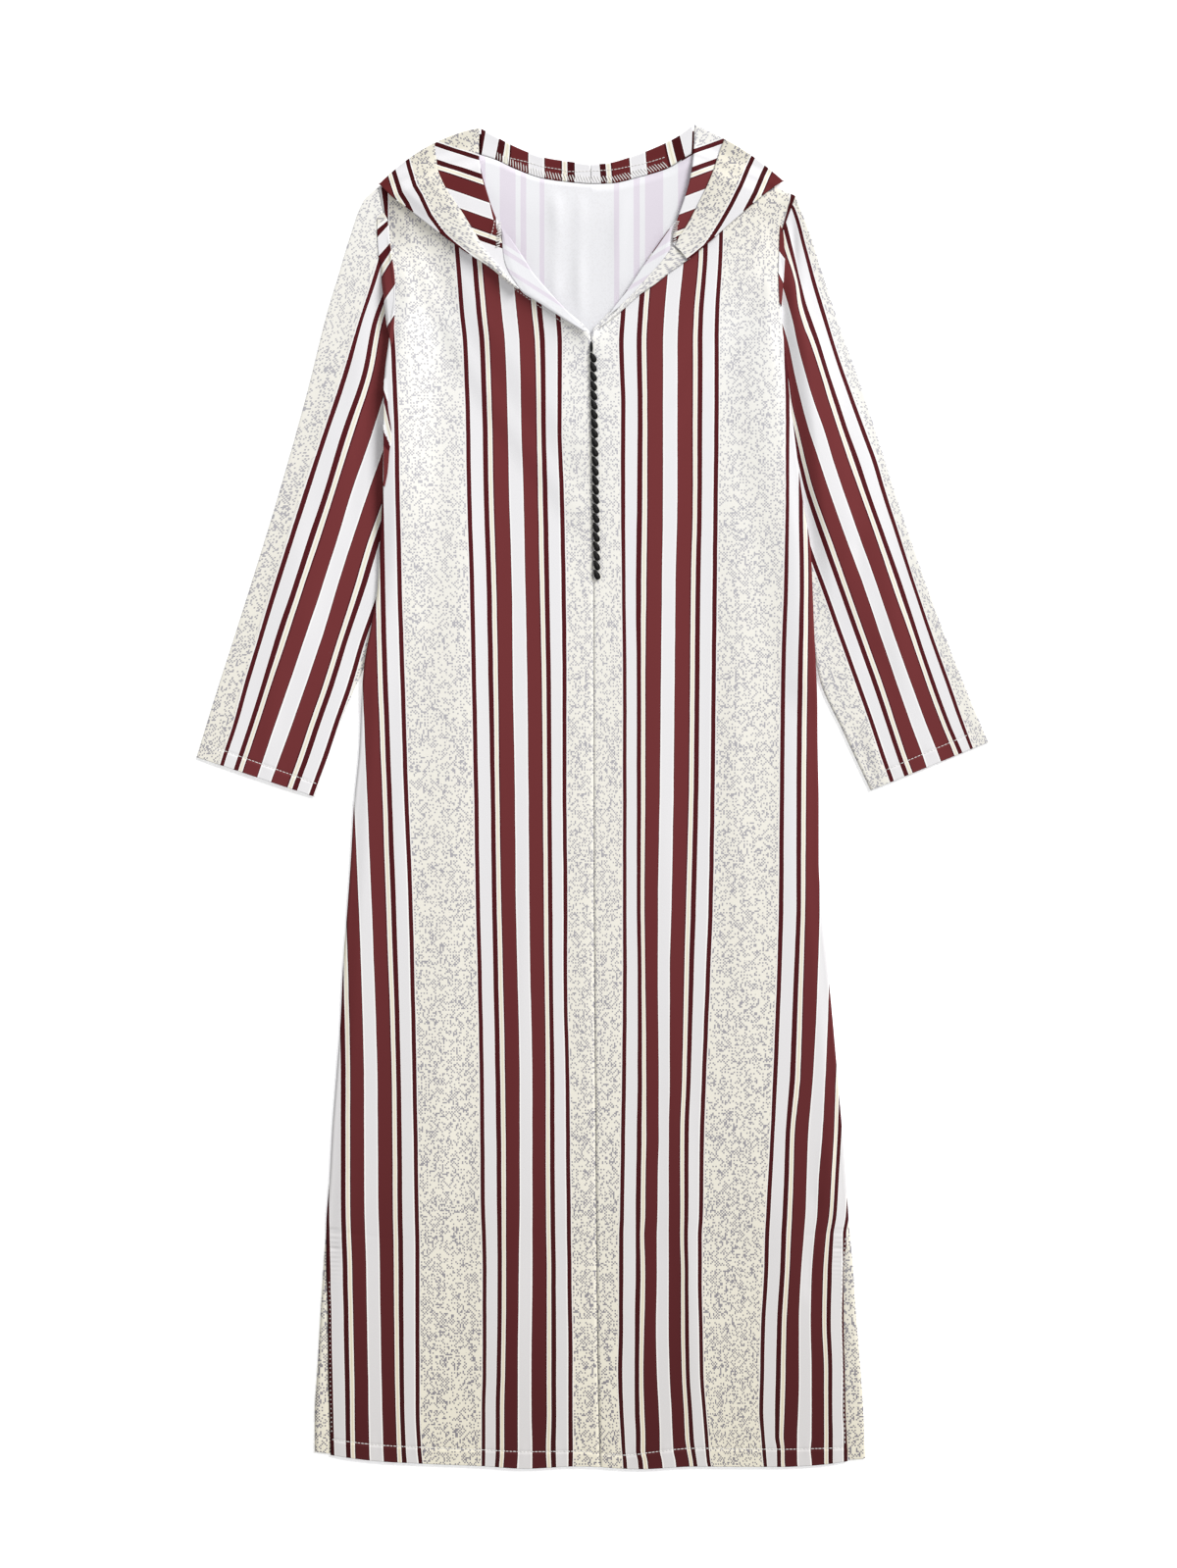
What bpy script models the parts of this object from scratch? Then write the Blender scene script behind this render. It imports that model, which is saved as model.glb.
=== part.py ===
"""Hooded djellaba robe, laid flat on its back, face up.

Metres, +Z up. X runs across the robe, Y from the hem to the shoulders, and the
origin lies on the floor under the middle of the robe's box.

The tables below are in millimetres, measured across and down a laying board.
"""

import math
from collections import namedtuple

import bmesh
import bpy
import numpy as np

# --- driving dimensions, in millimetres ---------------------------------------
MM = 0.001  # metres in a millimetre
BOARD_MIDDLE = (604.28, 812.62)  # the board's point that becomes the origin
CLOTH = 1.0  # wall of one layer of cloth
SEAM = 0.4  # gap between two pieces that a seam joins
LOOSE = 1.4  # gap between the front and the back away from the seams
LOOSEN = 16.0  # distance from a seam over which that gap opens
OVER = 0.9  # gap below what lies on the body
BAG_LIFT = 0.9  # gap between the hood's hidden layers and what lies on them
BAG_EDGE = 0.35  # the bag's thickness at its rim, as a share of its full thickness
BAG_RAMP = 60.0  # distance over which the bag thickens from its rim, and the back falls to the floor
BAG_GROOVE = 1.2  # depth of the groove that parts the layers at the bag's rim
SLEEVE_LIFT = 3.4  # how far a sleeve's hidden edge lifts the body that lies on it
SLEEVE_RAMP = 44.0  # distance over which the body comes down from the sleeve to the floor
SLEEVE_PUFF = 2.2  # how far a sleeve's top layer stands off its bottom layer
FOLD_GAP = 0.5  # inner width of a sharp fold
FOLD_FADE = 0.2  # share of a soft fold's length over which it rises at each end
HEM_BLEND = 160.0  # height above the hem over which the rows take the hem's curve
BACK_HEM_UP = 1.5  # how much shorter the back is than the front between the slits
V_TIP = 343.0  # where the front's two neck edges meet
SLIT_TOP = 1252.0
SLIT_EASE = 40.0  # distance below the slits' tops over which the back's hem turns up
BAG_SHALLOW = 1.2  # height of the hidden layers below which the gap over them closes
LIFT_TOP, LIFT_TOP_FADE = 246.0, 52.0  # where the sleeves begin to lift the body, and over what distance
LIFT_END, LIFT_END_FADE = 745.0, 55.0  # where they stop
SLEEVE_FLAT = 6.0  # how far inside its edge a sleeve carries the body at full height
SHOULDER_FALL = 14.0  # distance past the shoulder line over which what lies on it comes down
BACK_EASE = 1.5  # how fast the back's rows leave the curve of its top edge
EDGE_EASE = 3  # how fast rows leave the curve of a sleeve's armhole or a fall's top edge
SLEEVE_SPREAD = 0.8  # share of a sleeve's width that its top layer puffs over
PUFF_RISE = 0.25  # share of a sleeve's length over which the puff rises
PUFF_AT_CUFF = 0.55  # the puff left at the cuff, as a share
CREASE_EASE = 0.15  # share of the spread over which a sleeve's folds fade at its edges
FALL_EASE = 0.3  # share of a fall's upper layer over which its gap opens from the fold
BEADS = 24
BEAD_PITCH = 9.6
BEAD_SIZE = (7.6, 9.2, 3.2)  # across, along and high
BEAD_TILT = math.radians(22.0)
BRAID_GAP = 0.4  # between the beads and the cloth under them
TIP_SIZE = (3.6, 10.4, 2.2)
BRAID_TOP = 360.3  # where the first bead starts
TIP_MIDDLE = (603.0, 354.0)

# --- tables, in millimetres across and down the board ---------------------------
# Body rows from the shoulders to the first row under the V. Each row has its ends at
# the side seams, the front's two neck edges at neck_down, and the back's middle.
NeckRow = namedtuple("NeckRow", "left left_down right right_down neck_left neck_right neck_down back_down")
NECK_ROWS = [
    NeckRow(386.0, 190.0, 810.0, 198.5, 487.5, 707.0, 157.0, 187.0),
    NeckRow(388.0, 204.0, 806.5, 206.0, 491.0, 705.5, 176.0, 200.0),
    NeckRow(391.0, 220.0, 801.0, 218.0, 496.5, 701.0, 196.0, 215.0),
    NeckRow(394.5, 240.0, 797.5, 236.0, 503.0, 695.0, 216.0, 232.0),
    NeckRow(398.5, 262.0, 795.5, 258.0, 512.5, 680.5, 236.0, 250.0),
    NeckRow(401.3, 283.0, 795.0, 282.0, 528.0, 665.5, 257.0, 270.0),
    NeckRow(403.0, 303.0, 796.5, 305.0, 545.0, 648.0, 283.0, 292.0),
    NeckRow(401.0, 318.0, 797.0, 321.0, 568.5, 629.5, 310.0, 316.0),
    NeckRow(394.5, 332.0, 798.0, 338.0, 602.3, 602.7, 343.0, 343.0),
    NeckRow(392.0, 352.0, 801.0, 358.0, 603.0, 603.4, 368.0, 368.0),
]
# Below them the rows are level. The back's ends differ from the front's under the slits.
BodyRow = namedtuple("BodyRow", "down left right back_left back_right")
BODY_ROWS = [
    BodyRow(400.0, 391.5, 805.0, 391.5, 805.0),
    BodyRow(440.0, 391.3, 809.5, 391.3, 809.5),
    BodyRow(480.0, 391.0, 814.5, 391.0, 814.5),
    BodyRow(520.0, 389.3, 820.0, 389.3, 820.0),
    BodyRow(560.0, 387.0, 826.6, 387.0, 826.6),
    BodyRow(600.0, 384.8, 828.5, 384.8, 828.5),
    BodyRow(640.0, 378.0, 830.0, 378.0, 830.0),
    BodyRow(680.0, 371.0, 832.0, 371.0, 832.0),
    BodyRow(720.0, 368.0, 833.5, 368.0, 833.5),
    BodyRow(766.0, 365.8, 834.0, 365.8, 834.0),
    BodyRow(820.0, 360.6, 835.0, 360.6, 835.0),
    BodyRow(875.0, 357.5, 835.0, 357.5, 835.0),
    BodyRow(930.0, 353.6, 838.0, 353.6, 838.0),
    BodyRow(985.0, 349.5, 844.0, 349.5, 844.0),
    BodyRow(1040.0, 347.0, 849.2, 347.0, 849.2),
    BodyRow(1095.0, 342.8, 854.0, 342.8, 854.0),
    BodyRow(1150.0, 338.5, 858.7, 338.5, 858.7),
    BodyRow(1200.0, 335.8, 862.6, 335.8, 862.6),
    BodyRow(1252.0, 332.3, 865.6, 332.3, 866.4),
    BodyRow(1290.0, 332.6, 860.6, 329.8, 869.8),
    BodyRow(1340.0, 336.0, 860.4, 326.6, 873.2),
    BodyRow(1400.0, 336.5, 861.6, 323.4, 878.0),
    BodyRow(1450.0, 337.0, 862.8, 320.6, 881.0),
    BodyRow(1490.0, 338.0, 865.0, 320.6, 882.4),
]
HALF_COLUMNS = (0, 0.025, 0.07, 0.13, 0.21, 0.31, 0.42, 0.53, 0.64, 0.75, 0.86, 0.95, 1)
SHOULDER_SHARE = 0.42  # the share of the back's half row that the shoulder seam takes

Place = namedtuple("Place", "across down")
HEM = [Place(*p) for p in (
    (320, 1481), (338, 1484.6), (390, 1491), (429, 1493), (490, 1495.5), (535, 1498.2), (590, 1495.8),
    (654, 1498.7), (708, 1496), (795, 1496.4), (828, 1495), (863, 1491), (883, 1488))]
BRAID_LINE = [Place(*p) for p in ((604.4, 365), (606.6, 480), (608.2, 586))]
CENTRE_SEAM = [Place(*p) for p in ((602.5, 343), (603.5, 400), (605.5, 593), (609, 1000), (613, 1497))]
NECK_SEAM = [Place(*p) for p in (
    (487.5, 157), (506, 163), (525, 172), (554, 182), (584, 186), (602, 187.4), (622, 187), (650, 181),
    (680, 172), (707, 157))]

# A sleeve's outline: its outer fold from the shoulder to the cuff, its armhole from the
# shoulder to the underarm, and its inner edge from there to the cuff.
Sleeve = namedtuple("Sleeve", "outer armhole inner")
SLEEVES = {
    "left": Sleeve(
        [Place(*p) for p in (
            (384.6, 190.6), (371, 203), (357, 240), (345, 280), (333, 320), (313, 400), (285, 500),
            (248, 620), (216, 720), (200, 772.5))],
        [Place(*p) for p in ((384.6, 190.6), (389.6, 220), (397.2, 262), (402.1, 303), (400, 318))],
        [Place(*p) for p in (
            (400, 318), (404, 345), (407, 400), (406, 480), (400, 560), (388.5, 640), (371, 680),
            (344.5, 743), (320.6, 812.6))]),
    "right": Sleeve(
        [Place(*p) for p in (
            (811.4, 199.4), (827, 240), (840, 280), (853, 320), (881, 400), (913, 500), (954, 620),
            (993, 720), (1008.6, 757))],
        [Place(*p) for p in (
            (811.4, 199.4), (802.2, 219), (796.4, 258), (796, 282), (797.4, 305), (798, 321))],
        [Place(*p) for p in (
            (798, 321), (792, 350), (790, 400), (804, 500), (815.5, 560), (824, 620), (835.5, 691),
            (860.4, 747), (888, 806))]),
}
SLEEVE_ACROSS = (0, 0.08, 0.22, 0.4, 0.6, 0.8, 1)  # from the outer fold
SLEEVE_ROWS = 20
SIDES = {"left": -1, "right": 1}

# The hood's falls, a row for each section from the neck to the V. A section runs from
# inner, at the neck seam, out to the fold, and back over itself to the hood's opening.
Fall = namedtuple("Fall", "fold fold_down opening opening_down inner inner_down")
FALLS = {
    "left": [
        Fall(386, 187, 443, 152, 489, 130), Fall(402, 203, 444.5, 163, 488.2, 150),
        Fall(420, 216.5, 453, 184, 489, 166), Fall(442, 234, 466, 207, 492, 184),
        Fall(463, 250, 482, 233, 498, 203), Fall(481, 262.5, 494, 251, 503.5, 226),
        Fall(494, 270.5, 503, 265, 510, 248), Fall(505, 278.5, 511.5, 274.5, 512.5, 266),
        Fall(516, 288.5, 521, 287, 521.5, 285.5), Fall(527, 296.2, 530, 297, 530, 296)],
    "right": [
        Fall(799.4, 184, 740, 144, 707.8, 126.6), Fall(788, 191.5, 735, 156, 707.6, 146),
        Fall(772, 204.5, 728.6, 174, 706.4, 163), Fall(756, 218.5, 721, 191.5, 703.5, 182),
        Fall(740, 232.5, 709, 213.5, 698, 202), Fall(722, 248.5, 697, 235, 690.5, 224),
        Fall(711, 257.5, 689, 246.5, 686.5, 238), Fall(701.5, 265.5, 684, 256, 685.6, 249)],
}
TOP_BULGE = {"left": 10.0, "right": 5.0}  # how far a fall's top edge arches over its chord
FALL_ACROSS = (0, 0.2, 0.42, 0.64, 0.86, 1)
FALL_ROWS = 15
FALL_GAP = 1.1  # between a fall's two layers, away from the fold

# The hood's stand behind the neck, from the shoulder to the centre back seam.
Stand = namedtuple("Stand", "seam seam_down top top_down")
STANDS = {
    "left": [
        Stand(490.2, 157.6, 490.4, 130.6), Stand(506, 162.4, 503, 137.5), Stand(525, 171.4, 527, 150),
        Stand(554, 181.4, 556, 160.5), Stand(584, 185.4, 585, 165), Stand(601.8, 186.8, 601.8, 167.4)],
    "right": [
        Stand(602.2, 186.8, 602.2, 167.4), Stand(622, 186.4, 619, 166.2), Stand(650, 180.4, 646, 158.6),
        Stand(680, 171.2, 675, 147), Stand(696, 161.6, 693, 137.5), Stand(705, 156.4, 706.2, 127.6)],
}

# Strips along the V, each from its outer edge to the front's rolled neck edge.
Strip = namedtuple("Strip", "outer outer_down inner inner_down")
STRIPS = {
    "neck_turn_left": [
        Strip(510.6, 233, 512.2, 235), Strip(512, 243, 519, 244), Strip(514, 256, 528, 257.4),
        Strip(516, 267, 536, 270), Strip(520, 277, 542, 281), Strip(527, 287.6, 550, 290.5),
        Strip(534, 299.5, 561, 302.5), Strip(549, 310, 572, 315), Strip(566, 321, 583, 326.4),
        Strip(583, 332, 591, 334), Strip(595.5, 339.2, 597.6, 339.6)],
    "neck_turn_right": [
        Strip(686, 231, 684.6, 231.8), Strip(683.6, 242, 677, 242.4), Strip(682.4, 252, 669.6, 253),
        Strip(681.4, 259.6, 663, 262), Strip(671.6, 268.6, 656, 271.6), Strip(660.6, 280, 648.6, 283),
        Strip(645.8, 297, 637.6, 299.4), Strip(632, 310.6, 627.4, 312.4), Strip(623.8, 320, 620.8, 321.4),
        Strip(612.4, 331.4, 611, 332.6)],
    "neck_band_right": [
        Strip(699.6, 267, 682.6, 260.6), Strip(683, 278.4, 672.6, 269.6), Strip(669, 289.6, 661.8, 281.4),
        Strip(650.6, 302.4, 647, 298.4), Strip(639.6, 312.4, 633, 312.2), Strip(630, 321, 624.8, 321.2),
        Strip(614, 333.4, 612, 333.2)],
}

# The hood's hidden layers, a section for each place across.
BagSection = namedtuple("BagSection", "across top bottom thick")
BAG = [BagSection(*s) for s in (
    (404, 179, 188, 2.0), (420, 169, 235, 3.2), (444, 154, 290, 4), (466, 148, 332, 4), (489, 136, 370, 4),
    (512, 148, 405, 4), (555, 165, 460, 4), (600, 171, 505, 4), (645, 164, 460, 4), (688, 144, 405, 4),
    (706, 133, 370, 4), (735, 145, 318, 4), (768, 165, 255, 3.2), (788, 182, 192, 2.0))]
BAG_ACROSS = 20
BAG_ALONG = 10
# The bag's rim from the floor up: how far in it is, in millimetres, and its share of the thickness there.
RimStep = namedtuple("RimStep", "inward rise")
BAG_RIM = [RimStep(*r) for r in (
    (0.0, 0.0), (-0.35, 0.22), (0.0, 0.45), (BAG_GROOVE, 0.5), (0.0, 0.55), (0.5, 0.9))]

# Soft lengthwise folds of the front and of each sleeve's top layer.
Fold = namedtuple("Fold", "across down end_across end_down width height")
FRONT_FOLDS = [Fold(*f) for f in (
    (446, 330, 436, 1440, 34, 1.1), (552, 400, 548, 1480, 38, 0.9), (662, 380, 672, 1480, 36, 1.0),
    (764, 330, 786, 1430, 36, 1.2), (500, 900, 486, 1470, 26, 0.7), (724, 820, 734, 1470, 26, 0.8))]
SLEEVE_FOLDS = {
    "left": [Fold(378, 300, 300, 700, 16, 1.2), Fold(345, 330, 262, 760, 18, 0.9)],
    "right": [Fold(822, 300, 902, 700, 16, 1.1), Fold(852, 370, 945, 750, 18, 0.9)],
}

# Colours in linear RGB, with roughness.
Finish = namedtuple("Finish", "red green blue roughness")
STRIPED = Finish(0.66, 0.60, 0.55, 0.55)
PALE = Finish(0.80, 0.79, 0.82, 0.60)
BLACK = Finish(0.01, 0.008, 0.008, 0.45)


# --- curves and heights ---------------------------------------------------------
def smoothstep(x):
    x = np.clip(x, 0.0, 1.0)
    return x * x * (3.0 - 2.0 * x)


def smooth_curve(x, xs, ys):
    """The value at x of the curve through (xs, ys), which has no overshoot between them."""
    xs, ys = np.asarray(xs, float), np.asarray(ys, float)
    slopes = np.diff(ys) / np.diff(xs)
    tangents = np.zeros_like(ys)
    tangents[0], tangents[-1] = slopes[0], slopes[-1]
    rising = slopes[:-1] * slopes[1:] > 0
    harmonic = 2 * slopes[:-1] * slopes[1:] / np.where(rising, slopes[:-1] + slopes[1:], 1.0)
    tangents[1:-1] = np.where(rising, harmonic, 0.0)
    x = min(max(x, xs[0]), xs[-1])
    i = min(int(np.searchsorted(xs, x, side="right")) - 1, len(xs) - 2)
    width = xs[i + 1] - xs[i]
    t = (x - xs[i]) / width
    start = (1 + 2 * t) * (1 - t) ** 2 * ys[i] + t * (1 - t) ** 2 * width * tangents[i]
    end = t * t * (3 - 2 * t) * ys[i + 1] - t * t * (1 - t) * width * tangents[i + 1]
    return float(start + end)


def across_at(places, down):
    return smooth_curve(down, [p.down for p in places], [p.across for p in places])


def down_at(places, across):
    return smooth_curve(across, [p.across for p in places], [p.down for p in places])


def along(places, share):
    """The point at a share of the way along a curve through these places."""
    points = np.array(places, float)
    steps = np.hypot(*np.diff(points, axis=0).T)
    lengths = np.concatenate([[0.0], np.cumsum(steps)]) / steps.sum()
    return np.array([smooth_curve(share, lengths, points[:, 0]), smooth_curve(share, lengths, points[:, 1])])


def between(rows, share):
    """The table's row at a share of the way through it."""
    steps = np.linspace(0.0, 1.0, len(rows))
    return type(rows[0])(*(smooth_curve(share, steps, column) for column in zip(*rows)))


def ridges(folds, across, down):
    """How high soft folds stand at a point."""
    total = 0.0
    for fold in folds:
        share = (down - fold.down) / (fold.end_down - fold.down)
        middle = fold.across + (fold.end_across - fold.across) * share
        ends = smoothstep(share / FOLD_FADE) * smoothstep((1.0 - share) / FOLD_FADE)
        total += fold.height * ends * math.exp(-(((across - middle) / fold.width) ** 2))
    return total


def bag_top(across, down):
    """Height of the hood's hidden layers, which fades outside their outline."""
    columns = list(zip(*BAG))
    top = smooth_curve(across, columns[0], columns[1])
    bottom = smooth_curve(across, columns[0], columns[2])
    thick = smooth_curve(across, columns[0], columns[3])
    beside = max(columns[0][0] - across, across - columns[0][-1], 0.0)
    inside = min(down - top, bottom - down) - beside
    if inside >= 0:
        return thick * (BAG_EDGE + (1 - BAG_EDGE) * smoothstep(inside / BAG_RAMP))
    return thick * BAG_EDGE * smoothstep(1 + inside / BAG_RAMP)


def sleeve_lift(across, down):
    """How far the sleeves' hidden edges lift the body."""
    held = 0.0
    for side, sign in SIDES.items():
        inner = across_at(SLEEVES[side].inner, down)
        inward = sign * (inner - across)  # distance from the sleeve's edge towards the body's middle
        held += smoothstep((SLEEVE_RAMP + SLEEVE_FLAT - inward) / SLEEVE_RAMP)
    fades = smoothstep((down - LIFT_TOP) / LIFT_TOP_FADE) * smoothstep((LIFT_END - down) / LIFT_END_FADE)
    return SLEEVE_LIFT * min(held, 1.0) * fades


def under_back(across, down):
    """Height of the back panel's underside."""
    bag = bag_top(across, down)
    return bag + BAG_LIFT * smoothstep(bag / BAG_SHALLOW) + sleeve_lift(across, down)


def body_edges(down):
    """The front's two side edges at a place down the body."""
    rows = [(r.left_down, r.left, r.right_down, r.right) for r in NECK_ROWS]
    rows += [(r.down, r.left, r.down, r.right) for r in BODY_ROWS]
    left_down, left, right_down, right = zip(*rows)
    return smooth_curve(down, left_down, left), smooth_curve(down, right_down, right)


def shoulder_down(across):
    """The shoulder seams' line, carried on past the neck points."""
    first = NECK_ROWS[0]
    left = first.left_down + (across - first.left) * (first.neck_down - first.left_down) / (
        first.neck_left - first.left)
    right = first.right_down + (first.right - across) * (first.neck_down - first.right_down) / (
        first.right - first.neck_right)
    return max(left, right)


def front_gap(across, down):
    """Distance between the front and the back under it."""
    left, right = body_edges(down)
    from_seam = max(min(across - left, right - across, down - shoulder_down(across)), 0.0)
    opened = smoothstep(from_seam / LOOSEN)
    return SEAM + (LOOSE - SEAM + ridges(FRONT_FOLDS, across, down)) * opened


def over_body(across, down):
    """Height of the body's upper surface, which falls to the hood's layers past the shoulders."""
    covered = smoothstep((down - shoulder_down(across) + SHOULDER_FALL) / SHOULDER_FALL)
    return under_back(across, down) + covered * (2 * CLOTH + front_gap(across, down))


# --- mesh tools -----------------------------------------------------------------
def at(across, down, height):
    """A point of the board in metres."""
    return ((across - BOARD_MIDDLE[0]) * MM, (BOARD_MIDDLE[1] - down) * MM, height * MM)


def finish(name, tone):
    material = bpy.data.materials.new(name)
    material.use_nodes = True
    shader = material.node_tree.nodes["Principled BSDF"]
    shader.inputs["Base Color"].default_value = (tone.red, tone.green, tone.blue, 1)
    shader.inputs["Roughness"].default_value = tone.roughness
    shader.inputs["Metallic"].default_value = 0.0
    return material


def new_object(name, bm, tone):
    mesh = bpy.data.meshes.new(name)
    bm.to_mesh(mesh)
    bm.free()
    mesh.shade_smooth()
    mesh.materials.append(finish(name, tone))
    made = bpy.data.objects.new(name, mesh)
    bpy.data.collections["djellaba_robe"].objects.link(made)
    return made


def shaped_grid(columns, rows, place):
    """A grid of cells whose point (column, row) is moved to place(column, row)."""
    bm = bmesh.new()
    bmesh.ops.create_grid(bm, x_segments=columns, y_segments=rows, size=1.0)
    for vert in bm.verts:
        column = round((vert.co.x + 1) / 2 * columns)
        row = round((vert.co.y + 1) / 2 * rows)
        vert.co = place(column, row)
    return bm


def face_up(bm, probe):
    """Turns all faces so that those near the probe column look up."""
    bm.normal_update()
    bm.faces.ensure_lookup_table()
    if sum(face.normal.z for face in probe(bm)) < 0:
        bmesh.ops.reverse_faces(bm, faces=bm.faces)
    bm.normal_update()


def cloth(name, columns, rows, place, tone=STRIPED):
    """A sheet of cloth: place gives its inner surface, and its wall is added outward.

    The last column's faces look up, so a sheet that bends over itself grows outward all round.
    """
    bm = shaped_grid(columns, rows, place)
    bm.verts.ensure_lookup_table()
    tops = {bm.verts[(columns + 1) * row + columns] for row in range(rows + 1)}
    face_up(bm, lambda mesh: [face for face in mesh.faces if tops & set(face.verts)])
    made = new_object(name, bm, tone)
    wall = made.modifiers.new("Wall", "SOLIDIFY")
    wall.thickness = CLOTH * MM
    wall.offset = 1.0
    wall.use_even_offset = True
    wall.use_rim = True
    return made


# --- body -----------------------------------------------------------------------
def hem_shift(across, down):
    """How far a row moves down to follow the hem's curve."""
    last = BODY_ROWS[-1].down
    return (down_at(HEM, across) - last) * smoothstep((down - last + HEM_BLEND) / HEM_BLEND)


def front_point(side, column, row):
    """A point of one front half, on the board. Columns run from the side to the centre."""
    share = HALF_COLUMNS[column]
    if row < len(NECK_ROWS):
        cut = NECK_ROWS[row]
        outer = (getattr(cut, side), getattr(cut, side + "_down"))
        inner = (getattr(cut, "neck_" + side), cut.neck_down)
    else:
        cut = BODY_ROWS[row - len(NECK_ROWS)]
        outer = (getattr(cut, side), cut.down)
        inner = (across_at(CENTRE_SEAM, cut.down) + SIDES[side] * SEAM / 2, cut.down)
    across = outer[0] + (inner[0] - outer[0]) * share
    down = outer[1] + (inner[1] - outer[1]) * share
    return across, down + hem_shift(across, down)


def back_point(side, column, row):
    """A point of half the back, on the board. Columns run from the side to the centre."""
    share = HALF_COLUMNS[column]
    centre = across_at(CENTRE_SEAM, V_TIP)
    if row < len(NECK_ROWS):
        cut = NECK_ROWS[row]
        outer = (getattr(cut, side), getattr(cut, side + "_down"))
        inner = (centre, cut.back_down)
    else:
        cut = BODY_ROWS[row - len(NECK_ROWS)]
        outer = (getattr(cut, "back_" + side), cut.down)
        inner = (across_at(CENTRE_SEAM, cut.down), cut.down)
    across = outer[0] + (inner[0] - outer[0]) * share
    down = outer[1] + (inner[1] - outer[1]) * share
    fade = max(1 - row / (len(NECK_ROWS) - 2), 0.0) ** BACK_EASE
    if fade:
        top = back_top(side, share)
        first = NECK_ROWS[0]
        start = np.array([getattr(first, side), getattr(first, side + "_down")])
        chord = start + (np.array([centre, first.back_down]) - start) * share
        across, down = np.array([across, down]) + (top - chord) * fade
    past_slit = smoothstep((down - SLIT_TOP) / SLIT_EASE)
    edge = min(share / HALF_COLUMNS[2], 1.0)
    return across, down + hem_shift(across, down) - BACK_HEM_UP * past_slit * edge


def back_top(side, share):
    """The back's top edge: the shoulder seam, then the neck seam to the centre."""
    first = NECK_ROWS[0]
    shoulder = np.array([getattr(first, side), getattr(first, side + "_down")])
    neck = np.array([getattr(first, "neck_" + side), first.neck_down])
    if share <= SHOULDER_SHARE:
        return shoulder + (neck - shoulder) * share / SHOULDER_SHARE
    centre = across_at(CENTRE_SEAM, V_TIP)
    across = neck[0] + (centre - neck[0]) * (share - SHOULDER_SHARE) / (1 - SHOULDER_SHARE)
    return np.array([across, down_at(NECK_SEAM, across)])


def make_fronts():
    rows = len(NECK_ROWS) + len(BODY_ROWS) - 1
    for side in SIDES:
        def place(column, row, side=side):
            across, down = front_point(side, column, row)
            return at(across, down, under_back(across, down) + CLOTH + front_gap(across, down))

        cloth("front_" + side, len(HALF_COLUMNS) - 1, rows, place)


def make_back():
    half = len(HALF_COLUMNS) - 1
    rows = len(NECK_ROWS) + len(BODY_ROWS) - 1

    def place(column, row):
        if column <= half:
            across, down = back_point("left", column, row)
        else:
            across, down = back_point("right", 2 * half - column, row)
        return at(across, down, under_back(across, down))

    cloth("back", 2 * half, rows, place)


# --- sleeves --------------------------------------------------------------------
def sleeve_point(side, share, row):
    """A point of a sleeve's outline grid, on the board. share runs from the fold inward."""
    cut = SLEEVES[side]
    length = row / SLEEVE_ROWS
    outer, inner = along(cut.outer, length), along(cut.inner, length)
    straight = outer + (inner - outer) * share
    first = np.array(cut.armhole[0]) + (np.array(cut.armhole[-1]) - np.array(cut.armhole[0])) * share
    return straight + (along(cut.armhole, share) - first) * (1 - length) ** EDGE_EASE


def sleeve_gap(side, share, row):
    """Distance between a sleeve's two layers."""
    length = row / SLEEVE_ROWS
    across, down = sleeve_point(side, share, row)
    spread = min(share / SLEEVE_SPREAD, 1.0)
    fullness = smoothstep(length / PUFF_RISE) * (PUFF_AT_CUFF + (1 - PUFF_AT_CUFF) * (1 - length))
    crown = 4 * spread * (1 - spread) * fullness
    inside = smoothstep(spread / CREASE_EASE) * smoothstep((1 - spread) / CREASE_EASE)
    return FOLD_GAP + SLEEVE_PUFF * crown + ridges(SLEEVE_FOLDS[side], across, down) * inside


def make_sleeves():
    fold_steps = 3
    last = len(SLEEVE_ACROSS) - 1
    for side, sign in SIDES.items():
        def place(column, row, side=side, sign=sign):
            radius = FOLD_GAP / 2
            if column <= last:  # bottom layer, from the underarm seam out to the fold
                share = SLEEVE_ACROSS[last - column]
                across, down = sleeve_point(side, share, row)
                height = CLOTH
            elif column < last + fold_steps:  # round the fold
                turn = math.pi * (column - last) / fold_steps
                across, down = sleeve_point(side, 0.0, row)
                across += sign * radius * math.sin(turn)
                height = CLOTH + radius * (1 - math.cos(turn))
            else:  # top layer, from the fold in to the underarm seam
                share = SLEEVE_ACROSS[column - last - fold_steps]
                across, down = sleeve_point(side, share, row)
                height = CLOTH + sleeve_gap(side, share, row)
            from_fold = abs(column - last - fold_steps / 2)
            inset = sign * (CLOTH + radius) * max(1 - from_fold / last, 0.0)
            return at(across - inset, down, height)

        cloth("sleeve_" + side, 2 * last + fold_steps, SLEEVE_ROWS, place)


# --- hood -----------------------------------------------------------------------
def fall_point(side, share, row):
    """A point of a fall's lower layer, on the board. share runs from the neck to the fold."""
    length = row / FALL_ROWS
    cut = between(FALLS[side], length)
    inner = np.array([cut.inner, cut.inner_down])
    fold = np.array([cut.fold, cut.fold_down])
    arch = 4 * share * (1 - share) * TOP_BULGE[side] * (1 - length) ** EDGE_EASE
    return inner + (fold - inner) * share - np.array([0.0, arch])


def opening_share(side, row):
    """Where the hood's opening edge lies on a section of a fall."""
    cut = between(FALLS[side], row / FALL_ROWS)
    inner = np.array([cut.inner, cut.inner_down])
    run = np.array([cut.fold, cut.fold_down]) - inner
    return float(np.dot(np.array([cut.opening, cut.opening_down]) - inner, run) / np.dot(run, run))


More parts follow.
